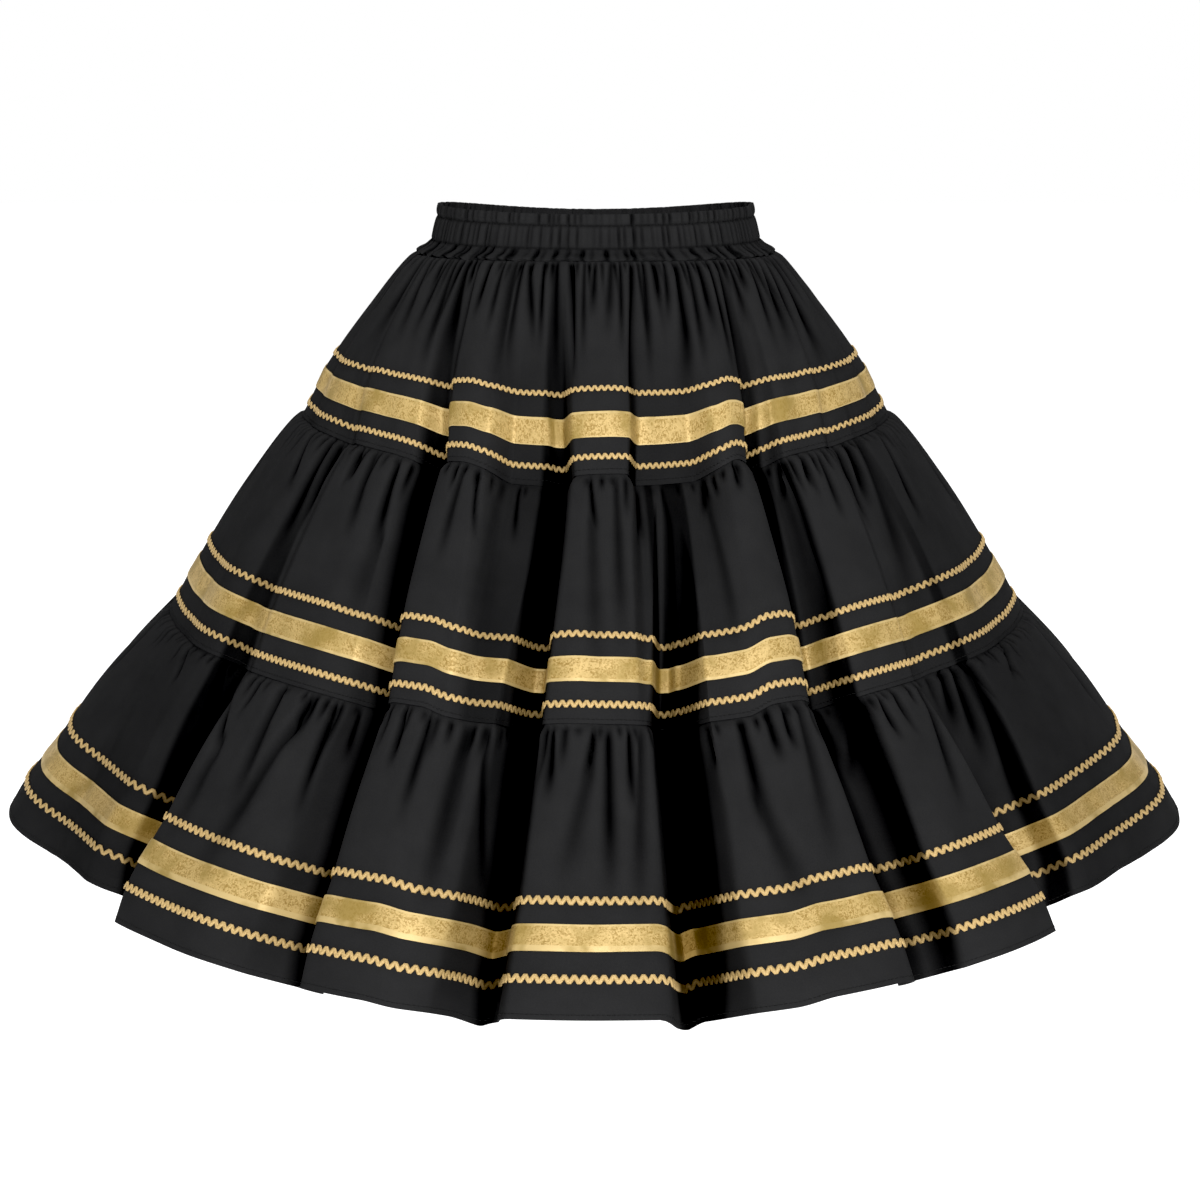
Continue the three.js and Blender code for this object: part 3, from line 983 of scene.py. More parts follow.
class Finish(Graph):
    """A material in the making, with its output and its shader."""

    def __init__(self, name: str) -> None:
        """Start the material.

        Args:
            name: its name.
        """
        self.material = bpy.data.materials.new(name)
        self.material.use_nodes = True
        super().__init__(self.material.node_tree)
        self.tree.nodes.clear()
        self.shader = self.add("ShaderNodeBsdfPrincipled")
        self.add("ShaderNodeOutputMaterial", {0: self.shader.outputs[0]})

    def dress(self, **inputs: object) -> bpy.types.Material:
        """Set the shader's inputs, each by its name with underscores for spaces.

        Args:
            inputs: a socket or a constant for each.

        Returns:
            The material.
        """
        for key, value in inputs.items():
            self.put(value, self.shader.inputs[key.replace("_", " ")])
        return self.material

    def on_cloth(self) -> tuple[bpy.types.NodeSocket, bpy.types.NodeSocket, bpy.types.NodeSocket]:
        """Read where a point lies on the flat cloth.

        Returns:
            The place, and its parts along the cloth and across it, in metres.
        """
        place = self.add("ShaderNodeUVMap", uv_map="UVMap").outputs["UV"]
        split = self.add("ShaderNodeSeparateXYZ", {0: place})
        return place, split.outputs[0], split.outputs[1]

    def in_space(self) -> bpy.types.NodeSocket:
        """Read where a point lies on the object."""
        return self.add("ShaderNodeTexCoord").outputs["Object"]

    def noise(self, place: bpy.types.NodeSocket, scale: float, detail: float = 2.0,
              rough: float = 0.5) -> bpy.types.NodeSocket:
        """Add a noise texture on some coordinates and give its value."""
        inputs = {"Vector": place, "Scale": scale, "Detail": detail, "Roughness": rough}
        return self.add("ShaderNodeTexNoise", inputs).outputs["Fac"]

    def ramp(self, value: bpy.types.NodeSocket, low: float, dark: tuple[float, float, float],
             high: float, light: tuple[float, float, float]) -> bpy.types.NodeSocket:
        """Turn a value into a colour.

        Args:
            value: what it reads.
            low: the value at and below which the colour is dark.
            dark: the dark colour.
            high: the value at and above which the colour is light.
            light: the light colour.

        Returns:
            The colour's socket.
        """
        node = self.add("ShaderNodeValToRGB", {0: value})
        for element, place, colour in zip(node.color_ramp.elements, (low, high), (dark, light)):
            element.position = place
            element.color = (*colour, 1.0)
        return node.outputs["Color"]

    def mix(self, share: object, under: bpy.types.NodeSocket, over: tuple[float, float, float],
            blend: str = "MIX") -> bpy.types.NodeSocket:
        """Lay a plain colour over another one by a share, from 0 to 1."""
        inputs = {0: share, 6: under, 7: (*over, 1.0)}
        return self.add("ShaderNodeMix", inputs, data_type="RGBA", blend_type=blend).outputs[2]

    def depth(self) -> bpy.types.NodeSocket:
        """Read the painted shade kept on a point, strongest at the bottom of a fold."""
        return self.add("ShaderNodeAttribute", attribute_name="shade").outputs["Fac"]

    def shaded(self, colour: bpy.types.NodeSocket, deep: tuple[float, float, float]
               ) -> bpy.types.NodeSocket:
        """Paint shade into a colour inside the folds, by a factor at their bottom."""
        return self.mix(self.depth(), colour, deep, "MULTIPLY")

    def dulled(self) -> bpy.types.NodeSocket:
        """Give a specular level that fades with the painted shade towards the bottom of the folds.
        """
        return self.maths("ADD", self.maths("MULTIPLY", self.depth(), -0.5), 0.5)

    def bump(self, height: bpy.types.NodeSocket, distance: float, strength: float,
             before: bpy.types.NodeSocket | None = None) -> bpy.types.NodeSocket:
        """Raise a surface by a pattern.

        Args:
            height: the pattern.
            distance: the height of the relief in metres.
            strength: its strength.
            before: the normal of a relief beneath it.

        Returns:
            Its normal's socket.
        """
        inputs = {"Height": height, "Distance": distance, "Strength": strength}
        if before is not None:
            inputs["Normal"] = before
        return self.add("ShaderNodeBump", inputs).outputs["Normal"]


@dataclass(frozen=True)
class CottonFinish:
    """Matt black cotton: a fine plain weave, soft crumples and a little fuzz, with painted shade
    in its folds.
    """

    name: str = "black_cotton"
    # The factor of painted shade at the bottom of the folds.
    deep: tuple[float, float, float] = (0.16, 0.16, 0.16)
    dark: tuple[float, float, float] = (0.019, 0.019, 0.0195)
    light: tuple[float, float, float] = (0.026, 0.026, 0.0265)
    thread: float = 0.0011
    slub_scale: float = 900.0
    cloud_scale: float = 28.0
    crumple: float = 0.0006
    weave: float = 0.00012
    relief: float = 0.5

    def make(self) -> bpy.types.Material:
        """Build the material.

        Returns:
            The material.
        """
        cotton = Finish(self.name)
        place, along, across = cotton.on_cloth()
        turns = 2 * math.pi / self.thread
        warp = cotton.maths("SINE", cotton.maths("MULTIPLY", along, turns))
        weft = cotton.maths("SINE", cotton.maths("MULTIPLY", across, turns))
        slubs = cotton.noise(place, self.slub_scale, 2.0, 0.6)
        clouds = cotton.noise(place, self.cloud_scale, 4.0, 0.6)
        tone = cotton.blend(slubs, 0.45, clouds, 0.55)
        colour = cotton.ramp(tone, 0.30, self.dark, 0.72, self.light)
        soft = cotton.bump(clouds, self.crumple, self.relief)
        grain = cotton.blend(cotton.maths("MULTIPLY", warp, weft), 0.5, slubs, 1.0)
        return cotton.dress(
            Base_Color=cotton.shaded(colour, self.deep),
            Normal=cotton.bump(grain, self.weave, self.relief, soft),
            Roughness=0.92,
            Specular_IOR_Level=0.03,
        )


@dataclass(frozen=True)
class RibbonFinish:
    """Gold metallic ribbon: glitter flecks between two smooth, paler edges, olive patches scattered
    at random, and painted shade in the folds.
    """

    name: str = "gold_ribbon"
    width: float = 0.0172
    edge_width: float = 0.0015
    deep: tuple[float, float, float] = (0.33, 0.21, 0.05)
    bright: tuple[float, float, float] = (0.59, 0.42, 0.165)
    edge: tuple[float, float, float] = (0.62, 0.46, 0.20)
    patch: tuple[float, float, float] = (0.31, 0.21, 0.048)
    # The factor of painted shade at the bottom of the folds.
    fold: tuple[float, float, float] = (0.20, 0.155, 0.05)
    fleck_scale: float = 1100.0
    mottle_scale: float = 120.0
    patch_scale: float = 30.0
    patch_share: float = 0.8
    relief: float = 0.00035

    def make(self) -> bpy.types.Material:
        """Build the material.

        Returns:
            The material.
        """
        ribbon = Finish(self.name)
        place, _, across = ribbon.on_cloth()
        flecks = ribbon.add("ShaderNodeTexVoronoi", {"Vector": place, "Scale": self.fleck_scale},
                            feature="F1")
        grey = ribbon.add("ShaderNodeRGBToBW", {0: flecks.outputs["Color"]})
        mottle = ribbon.noise(place, self.mottle_scale, 5.0, 0.75)
        tone = ribbon.blend(grey.outputs[0], 0.35, mottle, 0.65)
        body = ribbon.ramp(tone, 0.37, self.deep, 0.54, self.bright)
        off = ribbon.maths("ABSOLUTE", ribbon.maths("SUBTRACT", across, self.width / 2))
        rim = ribbon.maths("GREATER_THAN", off, self.width / 2 - self.edge_width)
        clean = ribbon.mix(rim, body, self.edge)
        blots = ribbon.noise(place, self.patch_scale, 3.0, 0.6)
        blot = ribbon.ramp(blots, 0.48, (0, 0, 0), 0.62, (1, 1, 1))
        patched = ribbon.mix(ribbon.maths("MULTIPLY", blot, self.patch_share), clean, self.patch)
        return ribbon.dress(
            Base_Color=ribbon.shaded(patched, self.fold),
            Normal=ribbon.bump(tone, self.relief, 0.6),
            Specular_IOR_Level=ribbon.dulled(),
            Metallic=0.25,
            Roughness=0.5,
        )


@dataclass(frozen=True)
class BraidFinish:
    """Gold zigzag braid: plaited yarn with a dull metallic thread, and painted shade in the folds.
    """

    name: str = "gold_braid"
    deep: tuple[float, float, float] = (0.34, 0.22, 0.07)
    bright: tuple[float, float, float] = (0.60, 0.42, 0.18)
    # The factor of painted shade at the bottom of the folds.
    fold: tuple[float, float, float] = (0.04, 0.03, 0.012)
    yarn_scale: float = 1500.0
    relief: float = 0.0003

    def make(self) -> bpy.types.Material:
        """Build the material.

        Returns:
            The material.
        """
        braid = Finish(self.name)
        yarn = braid.noise(braid.in_space(), self.yarn_scale, 3.0, 0.7)
        colour = braid.ramp(yarn, 0.30, self.deep, 0.60, self.bright)
        return braid.dress(
            Base_Color=braid.shaded(colour, self.fold),
            Normal=braid.bump(yarn, self.relief, 0.5),
            Specular_IOR_Level=braid.dulled(),
            Metallic=0.1,
            Roughness=0.6,
        )


@dataclass(frozen=True)
class ThreadFinish:
    """Black sewing thread, a little shinier than the cloth."""

    name: str = "black_thread"
    dark: tuple[float, float, float] = (0.010, 0.010, 0.010)
    light: tuple[float, float, float] = (0.018, 0.018, 0.018)
    twist_scale: float = 2500.0

    def make(self) -> bpy.types.Material:
        """Build the material.

        Returns:
            The material.
        """
        thread = Finish(self.name)
        twist = thread.noise(thread.in_space(), self.twist_scale)
        colour = thread.ramp(twist, 0.3, self.dark, 0.7, self.light)
        return thread.dress(Base_Color=colour, Roughness=0.8, Specular_IOR_Level=0.1)


class TrimTree(Graph):
    """A Geometry Nodes tree with a path, some numbers and a material as its inputs."""

    def __init__(self, name: str, numbers: dict[str, float]) -> None:
        """Start the tree with its named inputs.

        Args:
            name: the tree's name.
            numbers: its number inputs and their values.
        """
        super().__init__(bpy.data.node_groups.new(name, "GeometryNodeTree"))
        face = self.tree.interface
        face.new_socket("Geometry", in_out="INPUT", socket_type="NodeSocketGeometry")
        for key, value in numbers.items():
            socket = face.new_socket(key, in_out="INPUT", socket_type="NodeSocketFloat")
            socket.default_value = value
        face.new_socket("Material", in_out="INPUT", socket_type="NodeSocketMaterial")
        face.new_socket("Geometry", in_out="OUTPUT", socket_type="NodeSocketGeometry")
        self.given = self.add("NodeGroupInput").outputs

    def attribute(self, name: str) -> bpy.types.NodeSocket:
        """Read a vector kept on the path by its name."""
        node = self.add("GeometryNodeInputNamedAttribute", {"Name": name}, data_type="FLOAT_VECTOR")
        return node.outputs["Attribute"]

    def position(self) -> bpy.types.NodeSocket:
        """Read the position of each point."""
        return self.add("GeometryNodeInputPosition").outputs[0]

    def vector(self, operation: str, first: object, second: object) -> bpy.types.Node:
        """Do a sum with two vectors and give its node, as the sum decides which output holds."""
        return self.add("ShaderNodeVectorMath", {0: first, 1: second}, operation=operation)

    def scaled(self, name: str, factor: bpy.types.NodeSocket) -> bpy.types.NodeSocket:
        """Scale a vector kept on the path, named here, by a number."""
        inputs = {0: self.attribute(name), "Scale": factor}
        return self.add("ShaderNodeVectorMath", inputs, operation="SCALE").outputs[0]

    def moved(self, shape: bpy.types.NodeSocket, offset: bpy.types.NodeSocket
              ) -> bpy.types.NodeSocket:
        """Move each point of a shape by an offset."""
        inputs = {"Geometry": shape, "Offset": offset}
        return self.add("GeometryNodeSetPosition", inputs).outputs["Geometry"]

    def end(self, made: bpy.types.NodeSocket) -> bpy.types.NodeTree:
        """Realise what was made, smooth it and give it its material.

        Args:
            made: the shape.

        Returns:
            The whole tree.
        """
        real = self.add("GeometryNodeRealizeInstances", {"Geometry": made})
        smooth = self.add("GeometryNodeSetShadeSmooth", {"Geometry": real.outputs["Geometry"]})
        inputs = {"Geometry": smooth.outputs["Geometry"], "Material": self.given["Material"]}
        paint = self.add("GeometryNodeSetMaterial", inputs)
        self.add("NodeGroupOutput", {"Geometry": paint.outputs["Geometry"]})
        return self.tree


POINTS_A_WAVE = 6


def zigzag_tree() -> bpy.types.NodeTree:
    """Build the tree that turns a path into zigzag braid, pressed flat to the cloth.

    Returns:
        The tree.
    """
    braid = TrimTree("zigzag_braid", {"Height": 0.0032, "Lift": 0.0009, "Radius": 0.0017,
                                      "Press": -0.5})
    index = braid.add("GeometryNodeInputIndex").outputs[0]
    wave = braid.maths("SINE", braid.maths("MULTIPLY", index, 2 * math.pi / POINTS_A_WAVE))
    swing = braid.maths("MULTIPLY", braid.maths("MULTIPLY", wave, braid.given["Height"]), 0.5)
    offset = braid.vector("ADD", braid.scaled("up", swing), braid.scaled("out", braid.given["Lift"]))
    middle = braid.moved(braid.given["Geometry"], offset.outputs[0])
    kept = braid.add("GeometryNodeStoreNamedAttribute",
                     {"Geometry": middle, "Name": "middle", "Value": braid.position()},
                     data_type="FLOAT_VECTOR", domain="POINT")
    curve = braid.add("GeometryNodeMeshToCurve", {"Mesh": kept.outputs["Geometry"]})
    profile = braid.add("GeometryNodeCurvePrimitiveCircle",
                        {"Resolution": 6, "Radius": braid.given["Radius"]})
    sweep = braid.add("GeometryNodeCurveToMesh", {"Curve": curve.outputs["Curve"],
                                                  "Profile Curve": profile.outputs["Curve"]})
    away = braid.vector("SUBTRACT", braid.position(), braid.attribute("middle"))
    standing = braid.vector("DOT_PRODUCT", away.outputs[0], braid.attribute("out"))
    lower = braid.maths("MULTIPLY", standing.outputs["Value"], braid.given["Press"])
    return braid.end(braid.moved(sweep.outputs["Mesh"], braid.scaled("out", lower)))


def stitch_tree() -> bpy.types.NodeTree:
    """Build the tree that lays one stitch on each point of a path.

    Returns:
        The tree.
    """
    run = TrimTree("run_of_stitches", {"Length": 0.0026, "Radius": 0.00028})
    stitch = run.add("GeometryNodeMeshCylinder", {"Vertices": 6, "Depth": run.given["Length"],
                                                  "Radius": run.given["Radius"]})
    along = run.vector("CROSS_PRODUCT", run.attribute("up"), run.attribute("out"))
    turn = run.add("FunctionNodeAlignRotationToVector", {"Vector": along.outputs[0]}, axis="Z")
    placed = run.add("GeometryNodeInstanceOnPoints",
                     {"Points": run.given["Geometry"], "Instance": stitch.outputs["Mesh"],
                      "Rotation": turn.outputs[0]})
    return run.end(placed.outputs["Instances"])


@dataclass(frozen=True)
class Path:
    """A closed path round the skirt: its points in mm, and at each one the directions up
    the cloth and out of it and its painted shade."""

    name: str
    points: np.ndarray
    up: np.ndarray
    out: np.ndarray
    shade: np.ndarray

    def grow(self, tree: bpy.types.NodeTree, numbers: dict[str, float],
             finish: bpy.types.Material) -> bpy.types.Object:
        """Run a tree along the path and keep the plain mesh.

        Args:
            tree: the tree.
            numbers: its numbers by input name.
            finish: its material.

        Returns:
            The object with its mesh made real.
        """
        carrier = self._carrier()
        modifier = carrier.modifiers.new("made", "NODES")
        modifier.node_group = tree
        values = {**numbers, "Material": finish}
        for item in tree.interface.items_tree:
            if item.item_type == "SOCKET" and item.in_out == "INPUT" and item.name in values:
                modifier[item.identifier] = values[item.name]
        shown = carrier.evaluated_get(bpy.context.evaluated_depsgraph_get())
        mesh = bpy.data.meshes.new_from_object(shown)
        carrier.modifiers.remove(modifier)
        carrier.data = mesh
        mesh.name = carrier.name
        return carrier

    def _carrier(self) -> bpy.types.Object:
        """Make the path an object of edges that a tree can read.

        Returns:
            The object.
        """
        mesh = bpy.data.meshes.new(self.name)
        count = len(self.points)
        edges = [(i, (i + 1) % count) for i in range(count)]
        mesh.from_pydata((self.points * MM).tolist(), edges, [])
        for key, vectors in (("up", self.up), ("out", self.out)):
            layer = mesh.attributes.new(key, "FLOAT_VECTOR", "POINT")
            layer.data.foreach_set("vector", vectors.astype(np.float32).ravel())
        keep_shade(mesh, self.shade)
        made = bpy.data.objects.new(self.name, mesh)
        bpy.context.scene.collection.objects.link(made)
        return made


@dataclass
class Wardrobe:
    """The finishes and node trees that the pieces share."""

    cotton: bpy.types.Material = field(default_factory=CottonFinish().make)
    ribbon: bpy.types.Material = field(default_factory=RibbonFinish().make)
    braid: bpy.types.Material = field(default_factory=BraidFinish().make)
    thread: bpy.types.Material = field(default_factory=ThreadFinish().make)
    zigzag: bpy.types.NodeTree = field(default_factory=zigzag_tree)
    stitches: bpy.types.NodeTree = field(default_factory=stitch_tree)


def declare(piece: bpy.types.Object, slot: str, *nodes: str) -> None:
    """Hang a piece on the root, hide the solids that it replaces and log its points.

    Args:
        piece: the piece.
        slot: not used.
        nodes: the solids that it replaces.
    """
    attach(piece, "root")
    if nodes:
        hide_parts(*nodes)
    LOG.info("%s: %d points", piece.name, len(piece.data.vertices))


@dataclass
class Tier:
    """One tier with its ribbon, its two braids and the topstitching of its foot.

    Sizes are in mm, and what is even, crowded or shaded is a share.
    """

    name: str
    cloth: TierCloth
    columns: int
    cut_width: float
    wave_pitch: float
    braid_height: float
    braid_half: float
    stitch_row: float
    trim_shade: float
    braid_shade: float
    wardrobe: Wardrobe
    rows: int = 42
    even_at: float = 0.62
    ribbon_even_at: float = 0.8
    even_rows: float = 0.35
    crowding: float = 1.9
    thick: float = 1.2
    tuck: float = 2.5
    tuck_in: tuple[float, float] = (1.7, 1.1)
    tuck_foot: float = 0.2
    groove_depth: float = 0.35
    groove_half: float = 1.3
    ribbon_thick: float = 0.5
    ribbon_lift: tuple[float, ...] = (0.75, 0.95, 0.85, 0.85, 0.85, 0.95, 0.75)
    braid_lift: float = 0.7
    braid_press: float = -0.5
    braid_ease: float = 0.7
    stitch_pitch: float = 3.1
    stitch_length: float = 2.4
    stitch_half: float = 0.22

    def make_cloth(self, above: Edge) -> bpy.types.Object:
        """Build the tier's cloth as a closed shell tucked under the seam above.

        Args:
            above: what gives the edge above with its upward and outward directions.

        Returns:
            The cloth.
        """
        columns = self.cloth.even_columns(self.columns, self.even_at)
        step = np.linspace(0, 1, self.rows)
        down = self.even_rows * step + (1 - self.even_rows) * step**self.crowding
        skin, normal, relief = self.cloth.parts(down, columns)
        length = self.cloth.level.length
        places = np.concatenate([[-self.tuck / length, 0], down[1:]])
        relief = relief - self._groove(down)[:, None]
        edge, up, out = above(columns)
        gap = np.array(self.tuck_in)[:, None, None]
        climb = np.array([self.tuck, self.tuck_foot])[:, None, None]
        tucked = edge[None] - out[None] * gap + up[None] * climb
        outer = np.concatenate([tucked, (skin + normal * relief[:, :, None])[1:]])
        behind = skin + normal * (self._lowest(relief) - self.thick)[:, :, None]
        behind = np.concatenate([tucked - out[None] * self.thick, behind[1:]])
        last = len(places) - 1
        kept = sorted({0, 1, 2, last, *range(3, last, 2)})
        shell = Shell(outer, behind[kept][:, ::2], self._across(), places * length)
        piece = shell.make(f"{self.name}_tier", self.wardrobe.cotton,
                           self.cloth.shade(places, columns))
        declare(piece, "cotton", f"{self.name}_tier_front", f"{self.name}_tier_back")
        return piece

    def _across(self) -> np.ndarray:
        """Give the flat cloth's length in mm at each column, with its full length last."""
        return np.arange(self.columns + 1) / self.columns * self.cut_width

    @staticmethod
    def _lowest(relief: np.ndarray) -> np.ndarray:
        """Find the lowest relief near each point, so that the coarser inner face stays inside.

        Args:
            relief: the outer face's relief in mm.

        Returns:
            The lowest relief near each point.
        """
        lowest = relief.copy()
        for turn in range(-3, 4):
            lowest = np.minimum(lowest, np.roll(relief, turn, axis=1))
        for turn in (1, 2):
            lowest[turn:] = np.minimum(lowest[turn:], lowest[:-turn])
            lowest[:-turn] = np.minimum(lowest[:-turn], lowest[turn:])
        return lowest

    def _groove(self, down: np.ndarray) -> np.ndarray:
        """Give the depth in mm of the groove along the topstitching."""
        away = (1 - down) * self.cloth.level.length - self.stitch_row
        return self.groove_depth * np.exp(-((away / self.groove_half) ** 2))

    def make_ribbon(self) -> None:
        """Build the ribbon laid on the cloth."""
        marks = self.cloth.level.marks
        columns = self.cloth.even_columns(self.columns, self.ribbon_even_at)
        rows = len(self.ribbon_lift)
        place = np.linspace(marks["ribbon_top"], marks["ribbon_foot"], rows)
        base = self.cloth.surface(place, columns)
        normal = outward(self.cloth.surface, place, columns)
        lift = np.array(self.ribbon_lift)[:, None, None]
        inner = (base + normal * (lift - self.ribbon_thick))[[0, rows // 2, rows - 1]]
        width = (place[-1] - place[0]) * self.cloth.level.length
        shell = Shell(base + normal * lift, inner, self._across(), np.linspace(0, width, rows))
        piece = shell.make(f"{self.name}_ribbon_band", self.wardrobe.ribbon,
                           self.trim_shade * self.cloth.shade(place, columns))
        declare(piece, "ribbon", f"{self.name}_ribbon")
        length = self.cloth.around(marks["ribbon_top"])

    def _path(self, name: str, place: float, count: int, widen: float = 0.0) -> Path:
        """Make a path round the tier with evenly spaced points.

        Args:
            name: its name.
            place: its place down the tier.
            count: its points.
            widen: how much wider they are spaced towards the two sides.

        Returns:
            The path.
        """
        columns = self.cloth.even_columns(count, place, widen)
        points, up, out = follow_round(self.cloth.surface, place, 0.02, columns)
        shade = self.braid_shade * self.cloth.shade(np.array([place]), columns)[0]
        return Path(name, points, up, out, shade)

    def make_braids(self) -> None:
        """Build the two zigzag braids."""
        numbers = {"Height": self.braid_height * MM, "Lift": self.braid_lift * MM,
                   "Radius": self.braid_half * MM, "Press": self.braid_press}
        for trim in Trim:
            place = self.cloth.level.marks[trim.value]
            waves = round(self.cloth.around(place, self.braid_ease) / self.wave_pitch)
            path = self._path(f"{self.name}_{trim.value}_zigzag", place, waves * POINTS_A_WAVE,
                              self.braid_ease)
            piece = path.grow(self.wardrobe.zigzag, numbers, self.wardrobe.braid)
            declare(piece, "braid", f"{self.name}_{trim.value}")

    def make_stitches(self) -> None:
        """Build the topstitching near the tier's foot."""
        place = 1 - self.stitch_row / self.cloth.level.length
        count = round(self.cloth.around(place) / self.stitch_pitch)
        numbers = {"Length": self.stitch_length * MM, "Radius": self.stitch_half * MM}
        path = self._path(f"{self.name}_topstitch_1", place, count)
        piece = path.grow(self.wardrobe.stitches, numbers, self.wardrobe.thread)
        declare(piece, "cotton")

    def foot_edge(self, columns: np.ndarray) -> tuple[np.ndarray, np.ndarray, np.ndarray]:
        """Give the tier's lower edge with its upward and outward directions."""
        return follow_round(self.cloth.surface, 1.0, 0.03, columns)

    def build(self, above: Edge) -> None:
        """Build everything of the tier.

        Args:
            above: what gives the edge above.
        """
        cloth = self.make_cloth(above)
        self.make_ribbon()
        self.make_braids()
        self.make_stitches()
        LOG.info("%s tier done", self.name)


@dataclass(frozen=True)
class Channel:
    """One channel of the band: its top and foot in mm below the band's top, and its puckers'
    places, depths and half width in mm."""

    top: float
    foot: float
    at: np.ndarray
    deep: np.ndarray
    width: float


@dataclass
class Waistband:
    """The shirred elastic band: its channels, puckers and rows of stitches, in mm."""

    form: SkirtForm
    wardrobe: Wardrobe
    level: Level = field(default_factory=partial(Level, BAND_RINGS, 0.0, 0.0))
    columns: int = 1400
    rows: int = 34
    fine: int = 4001
    thick: float = 2.4
    cut_width: float = 1650
    seed: int = 17
    stitch_rows: tuple[float, ...] = (9.0, 27.0)
    pucker_pitch: tuple[float, ...] = (5.2, 4.6, 6.8)
    pucker_depth: tuple[float, ...] = (1.2, 1.1, 2.4)
    pucker: float = 0.75
    swell: float = 0.9
    groove: float = 0.7
    stitch_pitch: float = 3.0
    stitch_length: float = 2.2
    stitch_half: float = 0.22

    def __post_init__(self) -> None:
        """Lay out the puckers of each channel."""
        self.skin = partial(self.form.skin, self.level)
        self._fine = np.linspace(0, self.form.count, self.fine)
        self._seam = ring_lengths(self.skin(np.array([0.5]), self._fine)[0])
        draw = np.random.default_rng(self.seed)
        edges = (-2.0, *self.stitch_rows, self.level.length + 2)
        self._channels = []
        for top, foot, pitch, depth in zip(edges, edges[1:], self.pucker_pitch, self.pucker_depth):
            count = round(self._seam[-1] / pitch)
            at = (np.arange(count) + draw.uniform(-0.42, 0.42, count)) * self._seam[-1] / count
            deep = draw.uniform(0.2, 1.6, count) * depth
            self._channels.append(Channel(top, foot, at, deep, pitch * 0.26))

    def relief(self, down: np.ndarray, columns: np.ndarray) -> tuple[np.ndarray, np.ndarray]:
        """Give the band's puckers and channels.

        Args:
            down: places from its top, 0, to its foot, 1.
            columns: the columns.

        Returns:
            The depth of the puckers, and the swell of the channels, both in mm.
        """
        below = self.level.below(down)
        seam = np.interp(columns % self.form.count, self._fine, self._seam)
        puckers = np.zeros((len(below), len(columns)))
        swell = np.zeros_like(puckers)
        for channel in self._channels:
            top, foot = channel.top, channel.foot
            inside = fade(top - 1, top + 1.5, below) * (1 - fade(foot - 1.5, foot + 1, below))
            bulge = np.sin(np.clip((below - top) / (foot - top), 0, 1) * math.pi)
            line = np.zeros(len(columns))
            for place, depth in zip(channel.at, channel.deep):
                away = around_to(seam - place, self._seam[-1])
                line += depth * np.exp(-((away / channel.width) ** 2))
            puckers += (inside * (0.6 + 0.4 * bulge))[:, None] * line[None, :] * self.pucker
            swell += (self.swell * bulge)[:, None]
        for row in self.stitch_rows:
            swell -= (self.groove * np.exp(-(((below - row) / 1.1) ** 2)))[:, None]
        return puckers, swell

    def surface(self, down: np.ndarray, columns: np.ndarray) -> np.ndarray:
        """Work out the outer face of the band, with its ruffled foot.

        Args:
            down: places from its top, 0, to its foot, 1.
            columns: the columns.

        Returns:
            The points in mm.
        """
        normal = outward(self.skin, down, columns)
        puckers, swell = self.relief(down, columns)
        made = self.skin(down, columns) + normal * (swell - puckers)[:, :, None]
        turn = columns / self.form.count * 2 * math.pi
        wave = np.sin(23 * turn) + np.sin(41 * turn + 2) + np.sin(67 * turn + 4)
        made[:, :, 2] += (puckers * 1.2 - 0.5 * wave[None, :]) * fade(0.75, 1.0, down)[:, None]
        return made

    def shade(self, down: np.ndarray, columns: np.ndarray) -> np.ndarray:
        """Work out the painted shade in the puckers and along the rows of stitches, from 0 to 1.

        Args:
            down: places from its top, 0, to its foot, 1.
            columns: the columns.

        Returns:
            The painted shade, one row for each place.
        """
        puckers, _ = self.relief(down, columns)
        below = (down * self.level.length)[:, None]
        rows = sum(np.exp(-(((below - row) / 0.9) ** 2)) for row in self.stitch_rows)
        # Painted shade in the puckers and along the stitch-row grooves.
        return 1 - (1 - 0.72 * np.clip(puckers / 1.6, 0, 1)) * (1 - 0.45 * np.clip(rows, 0, 1))

    def _even_columns(self, count: int) -> np.ndarray:
        """Space columns evenly along the band."""
        return np.interp(np.arange(count) / count * self._seam[-1], self._seam, self._fine)

    def build(self) -> None:
        """Build the band and its stitches."""
        columns = np.arange(self.columns) / self.columns * self.form.count
        seam = np.interp(columns, self._fine, self._seam)
        columns = np.interp(np.arange(self.columns) / self.columns * seam[-1], seam, columns)
        down = np.linspace(0, 1, self.rows)
        outer = self.surface(down, columns)
        inner = (outer - outward(self.skin, down, columns) * self.thick)[::3][:, ::2]
        across = np.arange(self.columns + 1) / self.columns * self.cut_width
        piece = Shell(outer, inner, across, self.level.below(down)).make(
            "waistband_cloth", self.wardrobe.cotton, self.shade(down, columns))
        declare(piece, "cotton", "waistband")
        count = round(self._seam[-1] / self.stitch_pitch)
        numbers = {"Length": self.stitch_length * MM, "Radius": self.stitch_half * MM}
        for index, row in enumerate(self.stitch_rows):
            points, up, out = follow_round(self.surface, row / self.level.length, 0.03,
                                    self._even_columns(count))
            path = Path(f"waistband_stitches_{index + 1}", points, up, out, np.zeros(count))
            made = path.grow(self.wardrobe.stitches, numbers, self.wardrobe.thread)
            declare(made, "cotton")

    def foot_edge(self, columns: np.ndarray) -> tuple[np.ndarray, np.ndarray, np.ndarray]:
        """Give the band's lower edge with its upward and outward directions."""
        return follow_round(self.skin, 1.0, 0.1, columns)


def creases(*rows: tuple[float, ...]) -> tuple[Crease, ...]:
    """Make a crease of each row, which has the crease's fields in order."""
    return tuple(Crease(*row) for row in rows)


